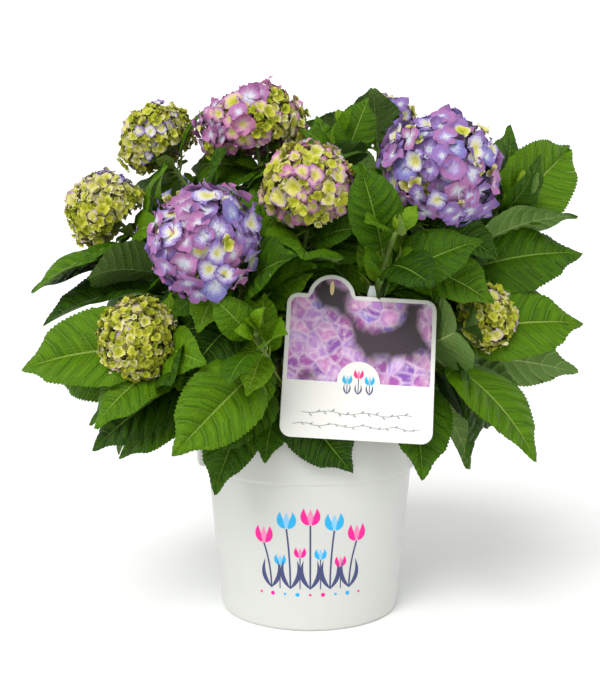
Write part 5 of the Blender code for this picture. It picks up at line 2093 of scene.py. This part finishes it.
def picture_material(look):
    """Soft printed blossom: round heads of pale-rimmed petals with cream hearts, before a
    dark ground."""
    shade = Shade("label_picture", look.picture_violet, specular_ior_level=0.45)
    where = shade.node("ShaderNodeUVMap", {"uv_map": "picture"})
    noise_sockets = {"Vector": where, "Scale": 7.0, "Detail": 2.0}
    wander = shade.node("ShaderNodeTexNoise", sockets=noise_sockets, output=1)
    wander = shade.node("ShaderNodeVectorMath", {"operation": "SCALE"}, {0: wander, "Scale": 0.07})
    moved = shade.node("ShaderNodeVectorMath", {"operation": "ADD"}, {0: where, 1: wander})
    petals = {"Vector": moved, "Scale": 12.0}
    near = shade.node("ShaderNodeTexVoronoi", sockets=petals)
    tone = shade.node("ShaderNodeSeparateColor", sockets={0: Value(shade, near.socket.node.outputs["Color"])})
    edge = shade.node("ShaderNodeTexVoronoi", {"feature": "DISTANCE_TO_EDGE"}, petals)
    crowd = shade.node("ShaderNodeTexVoronoi", sockets={"Vector": moved, "Scale": 3.0})
    colour = shade.node("ShaderNodeValToRGB", {"stops": [
        (0.0, look.picture_violet), (0.25, look.picture_rose), (0.45, look.picture_lilac),
        (0.6, look.picture_rose), (0.75, look.picture_pink), (1.0, look.picture_blue),
    ]}, {"Fac": tone})
    colour = shade.mix(near * 0.7, colour, look.picture_violet[:])
    colour = shade.mix(0.42 - edge * 2.2, colour, look.picture_cream[:])
    soft = shade.grain(22.0, 3.0, 0.6, moved)
    colour = shade.mix(soft * 2.2 - 1.05, colour, look.picture_cream[:])
    colour = shade.mix(0.75 - soft * 2.2, colour, look.picture_dark[:])
    shade.paint("Base Color", shade.mix(crowd * 6 - 3.6, colour, look.picture_dark[:]))
    shade.paint("Roughness", shade.grain(9.0, 2.0, 0.5, where) * 0.1 + 0.24)
    return shade.material


def stake_material(look):
    """Milky clear plastic."""
    clear = {"transmission_weight": 0.35, "ior": 1.49}
    return grained("clear_stake", look.stake, (200.0, 3.0), (0.25, 0.15), (0.15, 0.0004), **clear)


# Stage

def floor_material(look):
    shade = Shade("studio_floor", look.floor)
    shade.paint("Roughness", shade.grain(3.0, 2.0) * 0.1 + 0.85)
    return shade.material


def make_stage(look):
    """A pale floor, a white dome that darkens overhead, one soft main light and the camera."""
    mesh = bpy.data.meshes.new("studio_floor")
    reach = look.floor_reach
    corners = [(-reach, -reach, 0), (reach, -reach, 0), (reach, reach, 0), (-reach, reach, 0)]
    mesh.from_pydata(corners, [], [(0, 1, 2, 3)])
    mesh.materials.append(floor_material(look))
    linked("studio_floor", mesh)

    world = bpy.data.worlds.new("studio")
    bpy.context.scene.world = world
    world.use_nodes = True
    nodes, links = world.node_tree.nodes, world.node_tree.links
    way = nodes.new("ShaderNodeTexCoord")
    height = nodes.new("ShaderNodeSeparateXYZ")
    dome = nodes.new("ShaderNodeValToRGB")
    Shade.set_stops(dome.color_ramp, [(look.dome_from, look.sky), (look.dome_to, [look.dome_top] * 3)])
    links.new(way.outputs["Generated"], height.inputs[0])
    links.new(height.outputs["Z"], dome.inputs["Fac"])
    links.new(dome.outputs["Color"], nodes["Background"].inputs["Color"])
    nodes["Background"].inputs["Strength"].default_value = look.dome_strength
    light = bpy.data.lights.new("key_light", "SUN")
    light.energy = look.key_strength
    light.angle = look.key_softness
    key = linked("key_light", light)
    key.rotation_euler = Vector(look.key_way).to_track_quat("Z", "Y").to_euler()

    camera = bpy.data.cameras.new("camera")
    camera.lens = look.focal
    camera.sensor_width = look.sensor
    seen = linked("camera", camera)
    seen.location = look.camera_place
    seen.rotation_euler = (math.pi / 2 - look.camera_pitch, 0, 0)
    bpy.context.scene.camera = seen
    bpy.context.scene.view_settings.view_transform = "Standard"


# Settings

def linear(screen):
    """A hexadecimal screen colour as linear light."""
    parts = [int(screen[k:k + 2], 16) / 255 for k in (0, 2, 4)]
    return tuple(c / 12.92 if c <= 0.04045 else ((c + 0.055) / 1.055) ** 2.4 for c in parts)


def tint(name, description, screen):
    return FloatVectorProperty(
        name=name, description=description, subtype="COLOR", size=3, min=0, max=1, default=linear(screen)
    )


def amount(name, description, value, **rest):
    return FloatProperty(name=name, description=description, default=value, **rest)


def length(name, description, metres):
    return amount(name, description, metres, unit="LENGTH", precision=5)


def share(name, description, value):
    return amount(name, description, value, subtype="FACTOR")


def spot(name, description, place):
    return FloatVectorProperty(name=name, description=description, default=place, subtype="TRANSLATION")


class FoliageLook(bpy.types.PropertyGroup):
    """How the leaves look."""

    thickness: length("Thickness", "Thickness of a blade between its veins", 0.0006)
    rib: length("Rib", "How far the midrib stands out underneath", 0.0009)
    teeth: share("Teeth", "Depth of the teeth as a share of a leaf's length", 0.015)
    quilting: share("Quilting", "Swelling between veins as a share of a leaf's length", 0.023)
    groove: share("Groove", "Depth of the midrib's groove as a share of a leaf's length", 0.006)
    gloss: share("Roughness", "Roughness of the upper side", 0.36)
    # The greens run from deep to young; leaves inside the crown take the deeper ones as painted shade of its
    # interior.
    deep: tint("Deep green", "Upper side of shaded leaves", "1c3803")
    middle: tint("Green", "Upper side of grown leaves", "3c6104")
    fresh: tint("Fresh green", "Upper side of outer leaves", "5b810c")
    young: tint("Young green", "Upper side of the youngest leaves", "90a826")
    rib_old: tint("Rib", "Midribs and stalks of grown leaves", "6b8b33")
    rib_young: tint("Young rib", "Midribs and stalks of young leaves", "a3b350")
    under_old: tint("Underside", "Underside of grown leaves", "6c8d45")
    under_young: tint("Young underside", "Underside of young leaves", "84a04a")
    under_rib: tint("Underside rib", "Ribs of the underside", "b3c77e")


class BlossomLook(bpy.types.PropertyGroup):
    """The tints that the florets are made of."""

    lime: tint("Lime", "Green of unopened sepals", "8f9a1c")
    citron: tint("Citron", "Yellow-green of unripe sepals", "b0b22e")
    straw: tint("Straw", "Pale yellow of turning sepals", "c8c36c")
    cream: tint("Cream", "Off-white of pale sepals", "d3cead")
    ice: tint("Ice", "Blue-white of open centres", "c6c7d6")
    sky: tint("Sky", "Pale blue round the centres", "a3a6cd")
    bluebell: tint("Bluebell", "Blue of ripe sepals", "7c76b4")
    lavender: tint("Lavender", "Pale violet", "a08cbe")
    violet: tint("Violet", "Violet of ripe sepals", "7e68a8")
    mauve: tint("Mauve", "Pinkish violet", "926aa1")
    orchid: tint("Orchid", "Purple pink", "a46c9c")
    lilac: tint("Lilac", "Pale lilac edges", "b8a0b8")
    blush: tint("Blush", "Pale pink", "c89fae")
    pink: tint("Pink", "Pink of ripe sepals", "b9749b")
    bead: tint("Bead", "The bead in the middle of a floret", "c9c88a")
    stalk: tint("Floret stalk", "The thin stalks inside a head", "7d8a3c")


class WoodLook(bpy.types.PropertyGroup):
    """The trunk, canes and stems."""

    bark_grain: length("Bark grain", "Size of the finest steps of the trunk's mesh", 0.0017)
    bark_relief: length("Bark relief", "Depth of the trunk's fissures", 0.0009)
    woody_share: share("Woody share", "Share of the bare cane that has turned to wood", 0.7)
    bark: tint("Bark", "Ridges of the trunk's bark", "7a5f45")
    bark_dark: tint("Fissures", "Fissures of the trunk's bark", "33241a")
    bark_grey: tint("Weathered bark", "Weathered patches", "8b7f6c")
    woody: tint("Cane", "Older canes", "7d7a45")
    woody_dark: tint("Cane shade", "Dark flecks on older canes", "4c3f22")
    stem: tint("Stem", "Green stems", "6d8f38")
    specks: tint("Specks", "Specks on green stems", "5b3b3a")


class PotLook(bpy.types.PropertyGroup):
    """The container and its print."""

    sides: IntProperty(name="Sides", description="Faces round the container", default=144, min=24)
    plastic: tint("Plastic", "Colour of the container", "c8c9c5")
    pink: tint("Pink ink", "First colour of the print", "ec008c")
    cyan: tint("Cyan ink", "Second colour of the print", "18a4dc")
    navy: tint("Navy ink", "Stalks and leaves of the print", "3a416e")
    ink_proud: length("Ink height", "How far the ink stands off the wall", 0.00015)
    print_width: length("Print width", "Width of the print", 0.102)
    print_height: length("Print height", "Height of the print", 0.084)
    print_foot: length("Print foot", "Height at which the print starts", 0.045)


class SoilLook(bpy.types.PropertyGroup):
    """The potting soil."""

    roughness: length("Relief", "Unevenness of the surface", 0.0022)
    crumbs: IntProperty(name="Crumbs", description="Number of loose crumbs", default=420, min=0)
    perlite_share: share("Perlite", "Share of the crumbs that is perlite", 0.05)
    peat: tint("Peat", "Colour of the soil", "4a3527")
    perlite: tint("Perlite colour", "Colour of the white grains", "cfcac0")


class LabelLook(bpy.types.PropertyGroup):
    """The plant label and its stake."""

    card: tint("Card", "Off-white of the card", "e0dfda")
    stake: tint("Stake", "Milky plastic of the stake", "e6ece8")
    border: length("Border", "White border round the picture", 0.0042)
    picture_foot: length("Picture foot", "Lower edge of the picture on the card", -0.0150)
    disc_radius: length("Disc", "Radius of the white disc", 0.0205)
    ink_proud: length("Ink height", "How far each layer of print stands off the card", 0.00012)
    picture_cream: tint("Picture cream", "Hearts of the printed blossom", "f3dfe6")
    picture_lilac: tint("Picture lilac", "Pale violet of the printed blossom", "c39ddd")
    picture_violet: tint("Picture violet", "Violet of the printed blossom", "7d4aa8")
    picture_pink: tint("Picture pink", "Pink of the printed blossom", "e7a3d4")
    picture_rose: tint("Picture rose", "Rose of the printed blossom", "b04a9c")
    picture_blue: tint("Picture blue", "Blue of the printed blossom", "6a6ccb")
    picture_dark: tint("Picture ground", "Dark ground of the picture", "33262f")
    pink: tint("Pink ink", "First colour of the print", "e5267f")
    cyan: tint("Cyan ink", "Second colour of the print", "22a6cf")
    navy: tint("Navy ink", "Stalks and leaves of the print", "454c72")
    grey: tint("Grey ink", "The sprigs", "8d8f92")
    slot: tint("Slot", "The hanger slot", "e8cf97")


class StageLook(bpy.types.PropertyGroup):
    """Floor, light and camera."""

    floor: tint("Floor", "Colour of the floor", "fbfbfa")
    floor_reach: length("Floor reach", "Half the floor's side", 9.0)
    sky: tint("Surround", "Colour of the light from all round", "ffffff")
    dome_from: share("Dome start", "Height on the dome, as a sine, up to which it is white", 0.35)
    dome_to: share("Dome end", "Height on the dome, as a sine, from which it has its top's tone", 0.65)
    dome_top: share("Dome top", "Brightness overhead", 0.42)
    dome_strength: amount("Dome strength", "Strength of the dome's light", 1.3)
    key_way: spot("Key light", "The way from the plant to the main light", (-0.4, -0.85, 0.95))
    key_softness: amount("Key softness", "Width of the light", 0.6, subtype="ANGLE")
    key_strength: amount("Key strength", "Strength of the main light", 2.1)
    camera_place: spot("Camera", "Place of the camera", (-0.0102, -1.0282, 0.3584))
    camera_pitch: amount("Pitch", "How far down it looks", 0.08, subtype="ANGLE")
    focal: amount("Focal length", "In millimetres", 49.17)
    sensor: amount("Sensor", "The longer side, in millimetres", 36.0)


class HydrangeaSettings(bpy.types.PropertyGroup):
    """All that a user may change."""

    foliage: PointerProperty(type=FoliageLook)
    blossom: PointerProperty(type=BlossomLook)
    wood: PointerProperty(type=WoodLook)
    pot: PointerProperty(type=PotLook)
    soil: PointerProperty(type=SoilLook)
    label: PointerProperty(type=LabelLook)
    stage: PointerProperty(type=StageLook)


# Operators and panel

class MakeStage(bpy.types.Operator):
    """Sets the floor, the lights and the camera"""

    bl_idname = "hydrangea.stage"
    bl_label = "Stage"

    def execute(self, context):
        make_stage(context.scene.hydrangea.stage)
        return {"FINISHED"}


class MakeContainer(bpy.types.Operator):
    """Makes the container with its rim, grips, step and print"""

    bl_idname = "hydrangea.container"
    bl_label = "Container"

    def execute(self, context):
        make_pot(context.scene.hydrangea.pot)
        make_print(context.scene.hydrangea.pot)
        return {"FINISHED"}


class FillSoil(bpy.types.Operator):
    """Fills the container with potting soil and crumbs"""

    bl_idname = "hydrangea.soil"
    bl_label = "Potting soil"

    def execute(self, context):
        make_soil(context.scene.hydrangea.soil)
        return {"FINISHED"}


class MakeLabel(bpy.types.Operator):
    """Makes the plant label, its print and its stake"""

    bl_idname = "hydrangea.label"
    bl_label = "Label"

    def execute(self, context):
        look = context.scene.hydrangea.label
        make_card(look)
        make_picture(look)
        make_label_print(look)
        make_stake(look)
        return {"FINISHED"}


class GrowWood(bpy.types.Operator):
    """Grows the trunk's bark, the canes and the young twigs"""

    bl_idname = "hydrangea.wood"
    bl_label = "Trunk and canes"

    def execute(self, context):
        make_trunk(context.scene.hydrangea.wood)
        make_stems(context.scene.hydrangea.wood)
        return {"FINISHED"}


class GrowLeaves(bpy.types.Operator):
    """Grows every leaf, large and small"""

    bl_idname = "hydrangea.leaves"
    bl_label = "Leaves"

    def execute(self, context):
        make_leaves(context.scene.hydrangea.foliage)
        return {"FINISHED"}


class OpenBlossom(bpy.types.Operator):
    """Opens the florets of every flower head"""

    bl_idname = "hydrangea.blossom"
    bl_label = "Flower heads"

    def execute(self, context):
        make_blossom(context.scene.hydrangea.blossom)
        return {"FINISHED"}


class HydrangeaPanel(bpy.types.Panel):
    """Lists the parts of the plant with their settings"""

    bl_idname = "VIEW3D_PT_hydrangea"
    bl_label = "Potted Hydrangea"
    bl_space_type = "VIEW_3D"
    bl_region_type = "UI"
    bl_category = "Hydrangea"

    def draw(self, context):
        settings = context.scene.hydrangea
        for operator, group in PARTS.items():
            box = self.layout.box()
            box.operator(operator.bl_idname)
            look = getattr(settings, group)
            for key in look.bl_rna.properties.keys():
                if key not in ("rna_type", "name"):
                    box.prop(look, key)


PARTS = {
    MakeStage: "stage",
    MakeContainer: "pot",
    FillSoil: "soil",
    MakeLabel: "label",
    GrowWood: "wood",
    GrowLeaves: "foliage",
    OpenBlossom: "blossom",
}
GROUPS = (FoliageLook, BlossomLook, WoodLook, PotLook, SoilLook, LabelLook, StageLook, HydrangeaSettings)


def register():
    for kind in (*GROUPS, *PARTS, HydrangeaPanel):
        bpy.utils.register_class(kind)
    bpy.types.Scene.hydrangea = PointerProperty(type=HydrangeaSettings)


def unregister():
    del bpy.types.Scene.hydrangea
    for kind in reversed((*GROUPS, *PARTS, HydrangeaPanel)):
        bpy.utils.unregister_class(kind)


def main():
    register()
    for operator in PARTS:
        area, name = operator.bl_idname.split(".")
        getattr(getattr(bpy.ops, area), name)()


if __name__ == "__main__":
    main()
